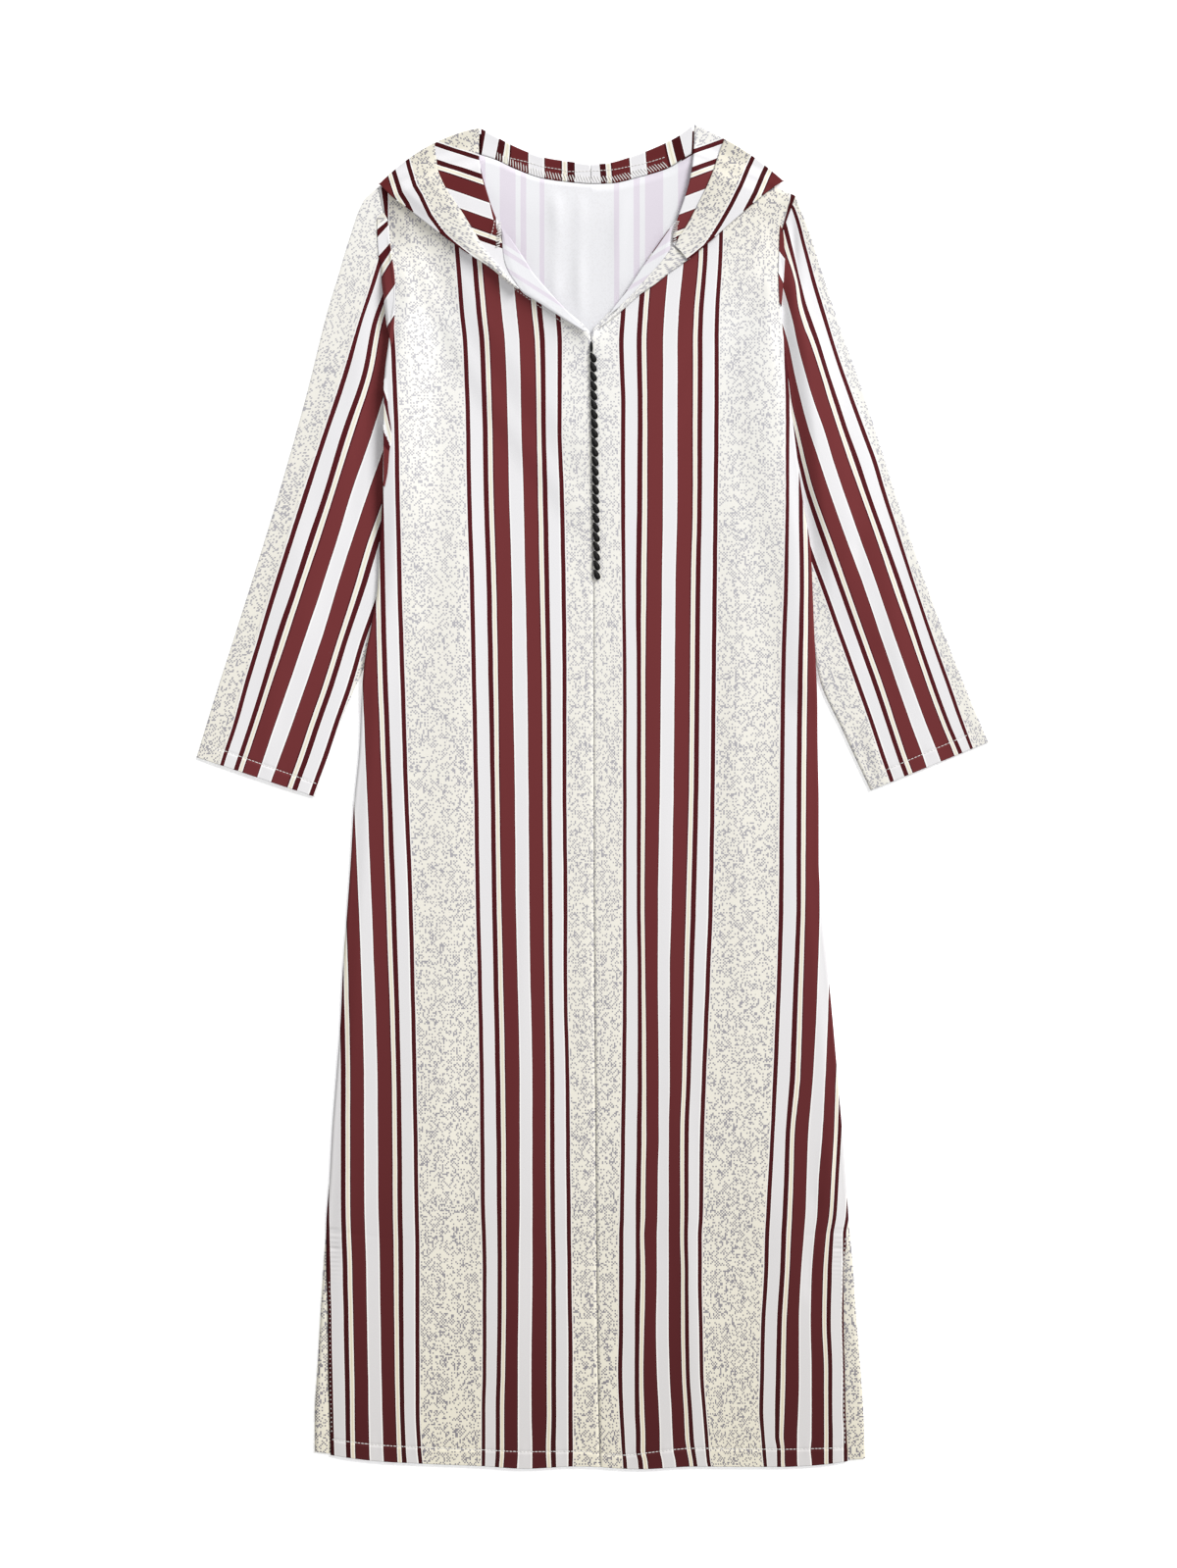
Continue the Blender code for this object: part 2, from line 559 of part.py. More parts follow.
def make_falls():
    fold_steps = 3
    last = len(FALL_ACROSS) - 1
    for side, sign in SIDES.items():
        def place(column, row, side=side, sign=sign):
            radius = FOLD_GAP / 2
            if column <= last:  # lower layer, from the neck seam out to the fold
                across, down = fall_point(side, FALL_ACROSS[column], row)
                height = CLOTH
            elif column < last + fold_steps:  # round the fold
                turn = math.pi * (column - last) / fold_steps
                across, down = fall_point(side, 1.0, row)
                across += sign * radius * math.sin(turn)
                height = CLOTH + radius * (1 - math.cos(turn))
            else:  # upper layer, from the fold back to the hood's opening
                back = FALL_ACROSS[column - last - fold_steps]
                across, down = fall_point(side, 1 + (opening_share(side, row) - 1) * back, row)
                height = CLOTH + FOLD_GAP + (FALL_GAP - FOLD_GAP) * smoothstep(back / FALL_EASE)
            return at(across, down, over_body(across, down) + OVER + height)

        cloth("hood_" + side, 2 * last + fold_steps, FALL_ROWS, place)


def make_stands():
    columns, rows = 6, 3
    for side in SIDES:
        def place(column, row, side=side):
            cut = between(STANDS[side], column / columns)
            share = row / rows
            across = cut.seam + (cut.top - cut.seam) * share
            down = cut.seam_down + (cut.top_down - cut.seam_down) * share
            return at(across, down, under_back(across, down))

        cloth("hood_neck_" + side, columns, rows, place)


def make_bag():
    """The hidden layers: a loft of flat-bottomed sections, grooved round the rim."""
    columns = list(zip(*BAG))
    loop = 2 * (BAG_ALONG - 1) + 2 * len(BAG_RIM)

    def place(column, row):
        across = smooth_curve(row / BAG_ACROSS, np.linspace(0, 1, len(BAG)), columns[0])
        top = smooth_curve(across, columns[0], columns[1])
        bottom = smooth_curve(across, columns[0], columns[2])
        column %= loop
        if column < len(BAG_RIM):  # up the rim at the lower end
            inward, rise = BAG_RIM[column]
            return at(across, bottom - inward, rise * bag_top(across, bottom))
        column -= len(BAG_RIM)
        if column < BAG_ALONG - 1:  # along the top
            down = bottom + (top - bottom) * (column + 1) / BAG_ALONG
            return at(across, down, bag_top(across, down))
        column -= BAG_ALONG - 1
        if column < len(BAG_RIM):  # down the rim at the upper end
            inward, rise = BAG_RIM[len(BAG_RIM) - 1 - column]
            return at(across, top + inward, rise * bag_top(across, top))
        column -= len(BAG_RIM)
        down = top + (bottom - top) * (column + 1) / BAG_ALONG
        return at(across, down, 0.0)

    bm = shaped_grid(loop, BAG_ACROSS, place)
    bmesh.ops.remove_doubles(bm, verts=bm.verts, dist=1e-7)
    bmesh.ops.holes_fill(bm, edges=[edge for edge in bm.edges if edge.is_boundary], sides=0)
    bmesh.ops.recalc_face_normals(bm, faces=bm.faces)
    new_object("hood_bag", bm, STRIPED)


# --- neck strips and braid --------------------------------------------------------
def make_strips():
    columns = 2
    for name, table in STRIPS.items():
        rows = 2 * (len(table) - 1)

        def place(column, row, table=table, rows=rows):
            cut = between(table, row / rows)
            share = column / columns
            across = cut.outer + (cut.inner - cut.outer) * share
            down = cut.outer_down + (cut.inner_down - cut.outer_down) * share
            return at(across, down, over_body(across, down) + OVER)

        cloth(name, columns, rows, place, STRIPED if "band" in name else PALE)


def bead(name, across, down, size, tilt):
    """A flattened bead that lies on the centre front."""
    bm = bmesh.new()
    bmesh.ops.create_uvsphere(bm, u_segments=8, v_segments=4, radius=0.5)
    base = over_body(across, down) + BRAID_GAP
    for vert in bm.verts:
        x, y, z = (vert.co.x * size[0], vert.co.y * size[1], vert.co.z * size[2])
        turned = (x * math.cos(tilt) + y * math.sin(tilt), y * math.cos(tilt) - x * math.sin(tilt))
        vert.co = at(across + turned[0], down - turned[1], base + size[2] / 2 + z)
    new_object(name, bm, BLACK)


def make_braid():
    bead("braid_tip", TIP_MIDDLE[0], TIP_MIDDLE[1], TIP_SIZE, 0.0)
    for i in range(BEADS):
        down = BRAID_TOP + BEAD_PITCH * (i + 0.5)
        across = across_at(BRAID_LINE, down)
        bead(f"braid_bead_{i + 1:02d}", across, down, BEAD_SIZE, -BEAD_TILT)


def main():
    for old in list(bpy.data.objects):
        bpy.data.objects.remove(old, do_unlink=True)
    parts = bpy.data.collections.new("djellaba_robe")
    bpy.context.scene.collection.children.link(parts)
    make_bag()
    make_back()
    make_fronts()
    make_sleeves()
    make_falls()
    make_stands()
    make_strips()
    make_braid()


main()
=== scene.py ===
"""A hooded djellaba robe laid flat on its back: cloth, seams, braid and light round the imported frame.

Places are in millimetres across and down a laying board, as in the part's source, and heights
are in millimetres above the floor. The frame is in metres.
"""

import math
from collections import namedtuple

import bpy
import numpy as np
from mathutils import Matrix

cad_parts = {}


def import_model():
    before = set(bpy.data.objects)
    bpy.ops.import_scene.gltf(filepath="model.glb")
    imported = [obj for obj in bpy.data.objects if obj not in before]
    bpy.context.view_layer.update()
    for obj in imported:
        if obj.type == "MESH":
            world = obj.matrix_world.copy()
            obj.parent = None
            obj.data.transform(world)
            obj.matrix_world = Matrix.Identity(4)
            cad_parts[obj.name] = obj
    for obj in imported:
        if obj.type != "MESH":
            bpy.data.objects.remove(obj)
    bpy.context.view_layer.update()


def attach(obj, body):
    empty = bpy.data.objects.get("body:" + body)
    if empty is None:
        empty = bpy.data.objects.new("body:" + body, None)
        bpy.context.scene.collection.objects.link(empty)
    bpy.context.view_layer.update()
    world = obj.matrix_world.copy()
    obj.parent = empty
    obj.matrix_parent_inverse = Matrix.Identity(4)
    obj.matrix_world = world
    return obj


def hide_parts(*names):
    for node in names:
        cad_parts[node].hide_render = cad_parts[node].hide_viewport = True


MM = 0.001
BOARD_MIDDLE = (604.28, 812.62)

# --- how the layers lie, as in the part's source -------------------------------
CLOTH = 1.0
SEAM = 0.4
LOOSE = 1.4
LOOSEN = 16.0
OVER = 0.9
BAG_LIFT = 0.9
BAG_EDGE = 0.35
BAG_RAMP = 60.0
BAG_GROOVE = 1.2
SLEEVE_LIFT = 3.4
LEFT_LIFT = 7.5  # how much more the left sleeve's gathered cloth lifts the body below the armhole
SLEEVE_RAMP = 44.0
SLEEVE_PUFF = {"left": 1.6, "right": 1.4}
FOLD_GAP = 0.5
STRIP_LIFT = 0.7  # the neck's turned edges lie over the ends of the hood
STRIP_SINK = 0.8  # how much lower their outer edges lie
STRIP_WALL = 0.35
HEM_BLEND = 160.0
BACK_HEM_UP = 1.5
FALL_GAP = 1.6
EDGE_PUFF = 1.3  # how much more the front rises beside its side edges
SIDES = {"left": -1, "right": 1}


def table(kind, *rows):
    """A list of one kind of named tuple, from its rows of values."""
    return [kind(*row) for row in rows]


NeckRow = namedtuple("NeckRow", "left left_down right right_down neck_left neck_right neck_down back_down")
NECK_ROWS = table(NeckRow,
    (386, 190, 810, 198.5, 487.5, 707, 157, 187), (388, 204, 806.5, 206, 491, 705.5, 176, 200),
    (391, 220, 801, 218, 496.5, 701, 196, 215), (394.5, 240, 797.5, 236, 503, 695, 216, 232),
    (398.5, 262, 795.5, 258, 512.5, 680.5, 236, 250), (401.3, 283, 795, 282, 528, 665.5, 257, 270),
    (403, 303, 796.5, 305, 545, 648, 283, 292), (401, 318, 797, 321, 568.5, 629.5, 310, 316),
    (399, 332, 798, 338, 602.3, 602.7, 343, 343), (396.4, 352, 801, 358, 603, 603.4, 368, 368))
BodyRow = namedtuple("BodyRow", "down left right back_left back_right")
BODY_ROWS = table(BodyRow, *(row + row[1:] for row in (  # above the slits the back ends where the fronts do
    (378, 393, 803), (404, 391.5, 805), (440, 391.3, 809.5), (480, 391, 814.5), (520, 389.3, 820),
    (560, 387, 826.6), (600, 384.8, 828.5), (640, 378, 830), (680, 371, 832), (720, 368, 833.5),
    (766, 365.8, 834), (820, 360.6, 835), (875, 357.5, 835), (930, 353.6, 838), (985, 349.5, 844),
    (1040, 347, 849.2), (1095, 342.8, 854), (1150, 338.5, 858.7), (1200, 335.8, 862.6))))
BODY_ROWS += table(BodyRow,
    (1252, 332.3, 865.6, 332.3, 866.4), (1290, 332.3, 860.6, 329.8, 869.8),
    (1340, 334, 860.4, 326.6, 873.2), (1400, 334.4, 861.6, 323.4, 878), (1450, 335.8, 862.8, 320.6, 881),
    (1490, 336.8, 865, 320.6, 882.4))
SHOULDER_SHARE = 0.42
EDGE_SHARE = 0.07  # the share of a half row over which the back's hem turns up
V_TIP = 343.0
SLIT_TOP = 1252.0
SLIT_TURN = 7.0  # how far under the front the turned edge of the back's slit reaches
SLIT_THICKER = 0.9  # its doubled cloth stands up beyond the front's edge
SPECKLE_CLOTH = 115.0  # a place in the pattern's speckled stretch
TUCK_START = 3.1  # height of a tuck's folded edge, on the sleeve
TUCK_UPRIGHT = {"sleeve_turn_left": 0.9}  # the share of its height that a tuck gains at its folded edge
TUCK_OVER = 0.75  # how far a tuck stands over the front's edge
TUCK_UNDER = 0.1  # how far its other edge stays under the front's face
HEM_DEEP = 32.0
HEM_ROWS = 44
CUFF_STITCH = 0.974  # the cuff's stitching, as a share of the sleeve's length
CUFF_SCALE = 640.0

Place = namedtuple("Place", "across down")
HEM = table(Place,
    (320, 1481), (338, 1484.6), (390, 1491), (429, 1493), (490, 1495.5), (535, 1498.2), (590, 1495.8),
    (654, 1498.7), (708, 1496), (795, 1496.4), (828, 1495), (863, 1491), (883, 1488))
CENTRE_SEAM = table(Place,
    (602.5, 343), (603.5, 400), (604.8, 593), (605.4, 900), (606, 1000), (607.6, 1200), (609.4, 1390),
    (612, 1497))
# The gap at the centre seam, at places down it.
SEAM_DOWN, SEAM_OPEN = (400, 700, 900, 1050, 1250), (0.10, 0.12, 0.20, 0.34, 0.42)
NECK_SEAM = table(Place,
    (487.5, 157), (506, 163), (525, 172), (554, 182), (584, 186), (602, 187.4), (622, 187), (650, 181),
    (680, 172), (707, 157))

Sleeve = namedtuple("Sleeve", "outer armhole inner")
SLEEVES = {
    "left": Sleeve(
        table(Place,
            (384.6, 190.6), (371, 203), (357, 240), (345, 280), (333, 320), (313, 400), (285, 500),
            (248, 620), (216, 720), (200, 772.5)),
        table(Place, (384.6, 190.6), (389.6, 220), (397.2, 262), (402.1, 303), (400, 318)),
        table(Place,
            (400, 318), (404, 345), (407, 400), (406, 480), (400, 560), (388.5, 640), (371, 680),
            (344.5, 743), (320.6, 812.6))),
    "right": Sleeve(
        table(Place,
            (811.4, 199.4), (827, 240), (840, 280), (853, 320), (881, 400), (913, 500), (954, 620),
            (993, 720), (1008.6, 757)),
        table(Place, (811.4, 199.4), (802.2, 219), (796.4, 258), (796, 282), (797.4, 305), (798, 321)),
        table(Place,
            (798, 321), (792, 350), (790, 400), (804, 500), (815.5, 560), (824, 620), (835.5, 691),
            (860.4, 747), (888, 806))),
}

Fall = namedtuple("Fall", "fold fold_down opening opening_down inner inner_down")
FALLS = {
    "left": table(Fall,
        (386, 187, 441, 152, 489, 130), (402, 203, 439.5, 166, 488.2, 150),
        (420, 216.5, 448, 187, 489, 166), (442, 234, 463, 209, 492, 184), (463, 250, 482, 233, 498, 203),
        (481, 262.5, 494, 251, 503.5, 226), (494, 270.5, 503, 265, 511.5, 247),
        (505, 278.5, 511.5, 274.5, 516, 265), (516, 288.5, 521, 287, 525.5, 283.5),
        (527, 296.2, 530, 297, 533, 294.5)),
    "right": table(Fall,
        (799.4, 184, 740, 144, 707.8, 126.6), (788, 191.5, 735, 156, 707.6, 146),
        (772, 204.5, 728.6, 174, 706.4, 163), (756, 218.5, 721, 191.5, 703.5, 182),
        (740, 232.5, 709, 213.5, 698, 202), (722, 248.5, 697, 235, 690.5, 224),
        (711, 257.5, 689, 246.5, 686.5, 238), (701.5, 265.5, 684, 256, 685.6, 249)),
}
TOP_BULGE = {"left": 10.0, "right": 5.0}

Stand = namedtuple("Stand", "seam seam_down top top_down")
STANDS = {
    "left": table(Stand,
        (490.2, 157.6, 490.4, 130.6), (506, 162.4, 503, 137.5), (525, 171.4, 527, 150),
        (554, 181.4, 556, 160.5), (584, 185.4, 585, 165), (601.8, 186.8, 601.8, 167.4)),
    "right": table(Stand,
        (602.2, 186.8, 602.2, 167.4), (622, 186.4, 619, 166.2), (650, 180.4, 646, 158.6),
        (680, 171.2, 675, 147), (696, 161.6, 693, 137.5), (705, 156.4, 706.2, 127.6)),
}

Strip = namedtuple("Strip", "outer outer_down inner inner_down")
STRIPS = {
    "neck_turn_left": table(Strip,
        (510.6, 233, 512.6, 235), (512, 243, 519.8, 243.6), (512.6, 255.6, 529, 256.8),
        (514, 266.6, 537.2, 269.2), (518, 278, 544, 280), (525, 289, 552, 289.4), (533, 300, 562.6, 301.6),
        (549, 310, 574, 314), (566, 321, 585, 325.4), (583, 332, 592.6, 333.2),
        (595.5, 339.2, 598.6, 339)),
    "neck_turn_right": table(Strip,
        (686, 231, 684.6, 231.8), (683.6, 242, 677, 242.4), (683, 252, 669.6, 253), (683, 261, 663, 262),
        (673.6, 270.4, 656, 271.6), (662.6, 281.8, 648.6, 283), (647.6, 298.6, 637.6, 299.4),
        (633.6, 312.2, 627.4, 312.4), (623.8, 320, 620.8, 321.4), (612.4, 331.4, 611, 332.6)),
    "neck_band_right": table(Strip,
        (703.4, 264.2, 685.2, 252.4), (683, 278.4, 672.6, 269.6), (669, 289.6, 661.8, 281.4),
        (650.6, 302.4, 647, 298.4), (639.6, 312.4, 633, 312.2), (630, 321, 624.8, 321.2),
        (614, 333.4, 612, 333.2)),
}

BagSection = namedtuple("BagSection", "across top bottom thick")
BAG = table(BagSection,
    (404, 179, 188, 2), (420, 169, 235, 3.2), (444, 154, 290, 4), (466, 148, 332, 4), (489, 136, 370, 4),
    (512, 148, 405, 4), (555, 165, 460, 4), (600, 171, 505, 4), (645, 164, 460, 4), (688, 144, 405, 4),
    (706, 133, 370, 4), (735, 145, 318, 4), (768, 165, 255, 3.2), (788, 182, 192, 2))

Fold = namedtuple("Fold", "across down end_across end_down width height")
BACK_FOLDS_OF_SLEEVE = {"left": table(Fold, (350, 380, 282, 740, 12, 0.7)), "right": table(Fold,
    (862, 380, 932, 730, 12, 0.7))}
FRONT_FOLDS = table(Fold,
    (446, 330, 436, 1440, 30, 1.2), (552, 400, 548, 1480, 34, 1), (662, 380, 672, 1480, 32, 1.1),
    (764, 330, 786, 1430, 32, 1.3), (500, 900, 486, 1470, 22, 0.9), (724, 820, 734, 1470, 22, 0.9),
    (782, 214, 785, 290, 7, -0.9), (420, 560, 408, 980, 12, 0.8), (806, 600, 812, 1040, 12, 0.8),
    (590, 620, 594, 1100, 14, 0.6), (628, 900, 634, 1420, 13, 0.7), (700, 1120, 706, 1500, 11, 0.8),
    (846, 1150, 838, 1300, 8, 1), (832, 1205, 826, 1335, 5, -1), (356, 1130, 352, 1310, 8, 0.8))
BACK_FOLDS = table(Fold,
    (470, 420, 452, 1300, 16, 0.9), (610, 520, 606, 1420, 22, 0.8), (742, 430, 770, 1340, 16, 0.9),
    (540, 820, 520, 1460, 12, 0.7), (680, 760, 700, 1470, 13, 0.7))
INSIDE_FOLDS = table(Fold,
    (564, 186, 568, 320, 7, 1.5), (589, 190, 594, 340, 6, 1.2), (636, 186, 630, 300, 8, 0.9))
SLEEVE_FOLDS = {
    "left": table(Fold,
        (378, 300, 300, 700, 13, 1.5), (345, 330, 262, 760, 14, 1.1), (390, 330, 352, 560, 8, -1),
        (318, 520, 262, 790, 9, 0.9)),
    "right": table(Fold,
        (822, 300, 902, 700, 13, 1.4), (852, 370, 945, 750, 14, 1.1), (808, 212, 817, 300, 3.4, -1.7),
        (876, 530, 888, 690, 9, -1.2), (872, 740, 884, 800, 5, -1.4), (884, 735, 900, 806, 5, 0.9)),
}

# The roll in the right sleeve beside the body: its width and height at places down the board.
Roll = namedtuple("Roll", "down width height")
ROLL = table(Roll, (250, 10, 3), (318, 20, 8.4), (350, 24, 8.4), (400, 24, 7), (480, 22, 7))

# The edge along which the hood and the neck's turned edge lift the left front, and how the lift fades.
LIFTED_EDGE = table(Place,
    (386, 187), (402, 203), (420, 216.5), (442, 234), (463, 250), (481, 263), (506, 278), (522, 291),
    (541, 304), (558, 316), (575, 328), (601, 343))
LIFT_ACROSS, LIFT_HEIGHTS = (386, 442, 481, 575, 601), (1.8, 3.0, 6.0, 6.0, 5.0)
LIFT_BELOW, LIFT_ABOVE = 10.0, 60.0

STITCH_LINE = table(Place,
    (320, 1466), (338, 1468.6), (390, 1474.5), (429, 1476.5), (490, 1479), (535, 1481), (590, 1480.6),
    (635, 1484.5), (650, 1483.6), (665, 1481.5), (708, 1477.5), (795, 1478.5), (860, 1477), (883, 1471))

# --- soft relief ----------------------------------------------------------------------
Span = namedtuple("Span", "start rise end fall")  # where it starts and ends, and how long each takes
FOLD_ENDS = Span(0.0, 0.2, 1.0, 0.2)  # as shares of a fold's length
FOLD_BEND, FOLD_BENDS = 0.3, 5.0  # how far a fold wanders, as a share of its width, and how often
FOLD_LOW, FOLD_SWELL, FOLD_SWELLS = 0.8, 0.3, 9.0  # its uneven height along its length
SLEEVE_HELD = Span(246, 52, 745, 55)  # the stretch over which the sleeves lift the body
LEFT_HELD = Span(236, 50, 590, 120)
LEFT_REACH, LEFT_RAMP = 58.0, 56.0  # how far into the body the left sleeve's lift reaches
SLEEVE_REACH = 6.0
BAG_SOFT = 1.2
PUFF_PAST, PUFF_RAMP = 40.0, 80.0  # how far past the slit's top the front's puffed edge goes on
Stitching = namedtuple("Stitching", "step ramp groove width pucker")  # the relief beside a stitched line
HEM_RELIEF = Stitching(0.45, 2.5, 0.35, 1.4, 0.2)
CUFF_RELIEF = Stitching(0.4, 2.5, 0.35, 1.4, 0.15)
PUCKER_PITCH, PUCKER_WIDTH = 12.5, 10.0
CUFF_PUCKERS, CUFF_PUCKER_WIDTH = 8, 9.0
CREASE_WIDTH, CREASE_TOP, CREASE_MORE = 5.0, 0.1, 0.2  # the crease at the centre seam, deeper lower down
CREASE_FROM, CREASE_RAMP = 800, 250
SLIT_EDGE, SLIT_EDGE_WIDTH = 8, 5  # how far in from its edge the slit's stitching puckers the cloth
SLIT_WAVES = Span(1248, 8, 1325, 50)
SLIT_WAVE, SLIT_WAVE_PITCH = 0.24, 4.6
SLIT_PUCKER, SLIT_PUCKER_DOWN, SLIT_PUCKER_WIDTH = 0.8, 1273.5, 2.4
SLIT_PULL, SLIT_PULL_DOWN, SLIT_PULL_SLANT = 0.6, 1255, 0.12
SLIT_PULL_WIDTH, SLIT_PULL_LENGTH = 2.6, 28
SHOULDER_SOFT = 14  # over how far the body's height falls to the hood's layers past the shoulders
CROWN_START, CROWN_LOW = 0.22, 0.35  # over what share the sleeve's crown rises, and its height at the cuff
CROWN_BIAS, CROWN_FADE = 1.5, 0.7
SLEEVE_HIDDEN, SLEEVE_SHOWS, SLEEVE_SHOWS_RAMP = 0.8, 0.66, 0.14  # the share in view, and where all is
SLEEVE_EDGES = Span(0.0, 0.15, 1.0, 0.15)
ROLL_LENGTHS = Span(0.0, 0.12, 0.72, 0.3)
ROLL_RAMP = 0.8

# --- the cloth's own pattern, in millimetres of cloth -----------------------------
REPEAT = 167.5  # one repeat of the stripes
THIN = 5.5  # a maroon band narrower than this is a thin one
Band = namedtuple("Band", "start kind")
BANDS = table(Band,
    (0, "maroon"), (4.2, "white"), (17, "maroon"), (21.9, "cream"), (26.8, "maroon"), (42.5, "white"),
    (57, "maroon"), (72.2, "cream"), (77, "maroon"), (82, "white"), (94.5, "maroon"), (99.1, "speckle"))
PIPING = 1.0  # the pale line that runs beside each maroon band
EDGE_LINE = 0.9  # the darker line along the edges of a wide maroon band
CREAM_LINE = 0.7
SPECK = 1.55  # side of one speck

# Where lines of the pattern lie: the cloth at each, and how far across they are at places down the board.
Lines = namedtuple("Lines", "cloth rows")
FRONT_LINES = {
    "left": Lines((-163.4, -140.5, -109.5, -95.5, -72, 0, 18, 27, 41.5, 58, 72, 95.5), {
        250: (298, 321, 351, 367.5, 391.5, 463.5, 481, 490, 505, 521, 536, 561),
        320: (304, 327, 357, 373, 397, 469, 487, 496, 511, 527, 542, 567),
        350: (305, 328, 358, 375, 399, 472, 490, 499, 514, 530, 545, 569),
        440: (309, 332, 362, 379, 403, 475, 493, 502, 517, 532, 547, 569),
        500: (311, 334, 364, 381, 404, 476, 494, 503, 518, 534, 548, 571),
        600: (314, 337, 367, 382.5, 406, 479, 497, 506, 521, 536, 550, 573),
        700: (318, 341, 370, 385, 409, 481, 499, 508, 522, 538, 552, 574),
        800: (323.5, 346, 374, 389, 412, 483, 501, 509, 524, 539, 553, 574),
        920: (329.5, 352, 379, 393, 417, 485, 502.5, 511, 525, 540, 554, 575),
        1000: (332.5, 355, 382, 396, 419, 487, 504, 513, 527, 541, 555, 575),
        1100: (334.5, 357, 385, 399, 421, 489, 506, 515, 529, 543, 556, 577),
        1220: (334.8, 357, 386, 400, 423, 490, 507.5, 516, 529, 543, 556, 578),
        1300: (336.4, 359, 387.5, 401, 424, 492, 508, 516, 528, 543, 557, 579),
        1400: (338.4, 361, 389, 402, 424, 492, 507, 515, 527, 542, 557, 580),
        1440: (339.2, 361.5, 390, 403, 424, 491, 506, 514, 527, 542, 557, 580),
        1480: (340.2, 362, 391, 404, 426, 491, 506, 514, 527, 543, 556, 580),
        1498: (341, 363, 392, 405, 428, 491, 505, 513, 526, 543, 557, 580)}),
    "right": Lines((0, 18, 27, 41.5, 58, 72, 95.5, 167.5, 185.5, 194.5, 209, 225.5, 239.5, 263), {
        196: (638, 657, 666, 682, 699, 713, 736, 806.5, 825, 834, 849, 865, 878, 900),
        211: (638, 657, 666, 682, 698.5, 713, 735, 804.8, 822, 831, 846, 862, 875, 897),
        222: (637.5, 656.5, 665.5, 681.5, 698, 712.5, 734, 801, 818, 828, 843, 859, 872, 894),
        260: (637, 656, 665, 681, 697.5, 712, 733, 797.5, 816, 826, 841, 857, 870, 892),
        320: (633, 651.5, 660.5, 676.5, 692, 707, 729.5, 798, 816.5, 826, 841, 857, 870, 892),
        350: (631, 650, 659, 675, 691, 706, 729, 799, 817, 826, 841, 857, 870, 892),
        410: (633, 651, 660, 675, 691, 706, 729, 801, 817, 826, 841, 857, 870, 892),
        500: (633, 650.5, 660, 675, 691, 706, 728, 801, 815, 823, 838, 855, 868, 890),
        600: (634, 649, 659, 674, 689, 704, 727, 799, 816, 824, 838, 854, 867, 889),
        700: (635, 650, 658, 673, 688, 703, 726, 796, 814, 823, 837, 852, 866, 888),
        800: (635, 650, 658, 672, 687, 702, 725, 795, 813, 822, 835, 850, 864, 886),
        920: (635, 650, 657, 670, 685, 699, 723, 794, 813, 821, 835, 849, 862, 884),
        1000: (635, 651, 658, 670, 683, 697, 720, 792, 810, 819, 833, 846, 859, 880),
        1100: (634, 651, 659, 671, 683, 695, 716, 788, 806, 816, 828, 842, 852, 872),
        1160: (633, 650, 659, 671, 682, 693, 714, 785.4, 801.5, 810, 823, 838.8, 850, 868),
        1200: (632.5, 649.5, 658.5, 670, 682, 693, 713.5, 783.2, 800.3, 809, 821.8, 835.2, 847.5, 865.5),
        1240: (632, 649, 658, 669.5, 682, 693, 713, 781, 798.6, 807.6, 820.5, 833.4, 845, 863),
        1260: (631, 649, 657, 669, 682, 693, 712, 780, 797.5, 806.5, 819, 831, 842, 860),
        1300: (631, 649, 658, 669, 682, 694, 712, 779, 796, 805, 816, 828, 839, 860),
        1350: (631, 648, 657, 668, 682, 694, 713, 776, 793, 802, 814, 827, 838, 859),
        1400: (630, 648, 656, 669, 683, 695, 714, 775, 792, 801, 814, 828, 840, 860),
        1440: (631.5, 648, 657, 671, 685, 697, 717, 774, 791, 800, 813, 828, 840, 860),
        1465: (633, 649, 658, 672, 686, 698, 719, 776, 791, 799, 812, 828, 840, 861),
        1480: (634, 649, 658, 672, 687, 700, 720, 777, 793, 800, 812, 827, 840, 861),
        1490: (635, 651, 660, 674, 689, 702, 721, 778, 793, 800, 812, 828, 840, 861),
        1499: (635.5, 652, 661, 675, 690, 703, 723, 779, 793, 801, 813, 828.5, 841, 862)}),
}
BACK_LINES = Lines((-109.5, 58, 72, 96.5, 167.5, 209, 376.5), {
    320: (345, 510, 525, 552, 626, 675, 845), 720: (356, 514, 529, 555, 627, 673, 842),
    1220: (372, 520, 535, 560, 631, 671, 836), 1490: (378, 522, 537, 562, 633, 671, 835)})
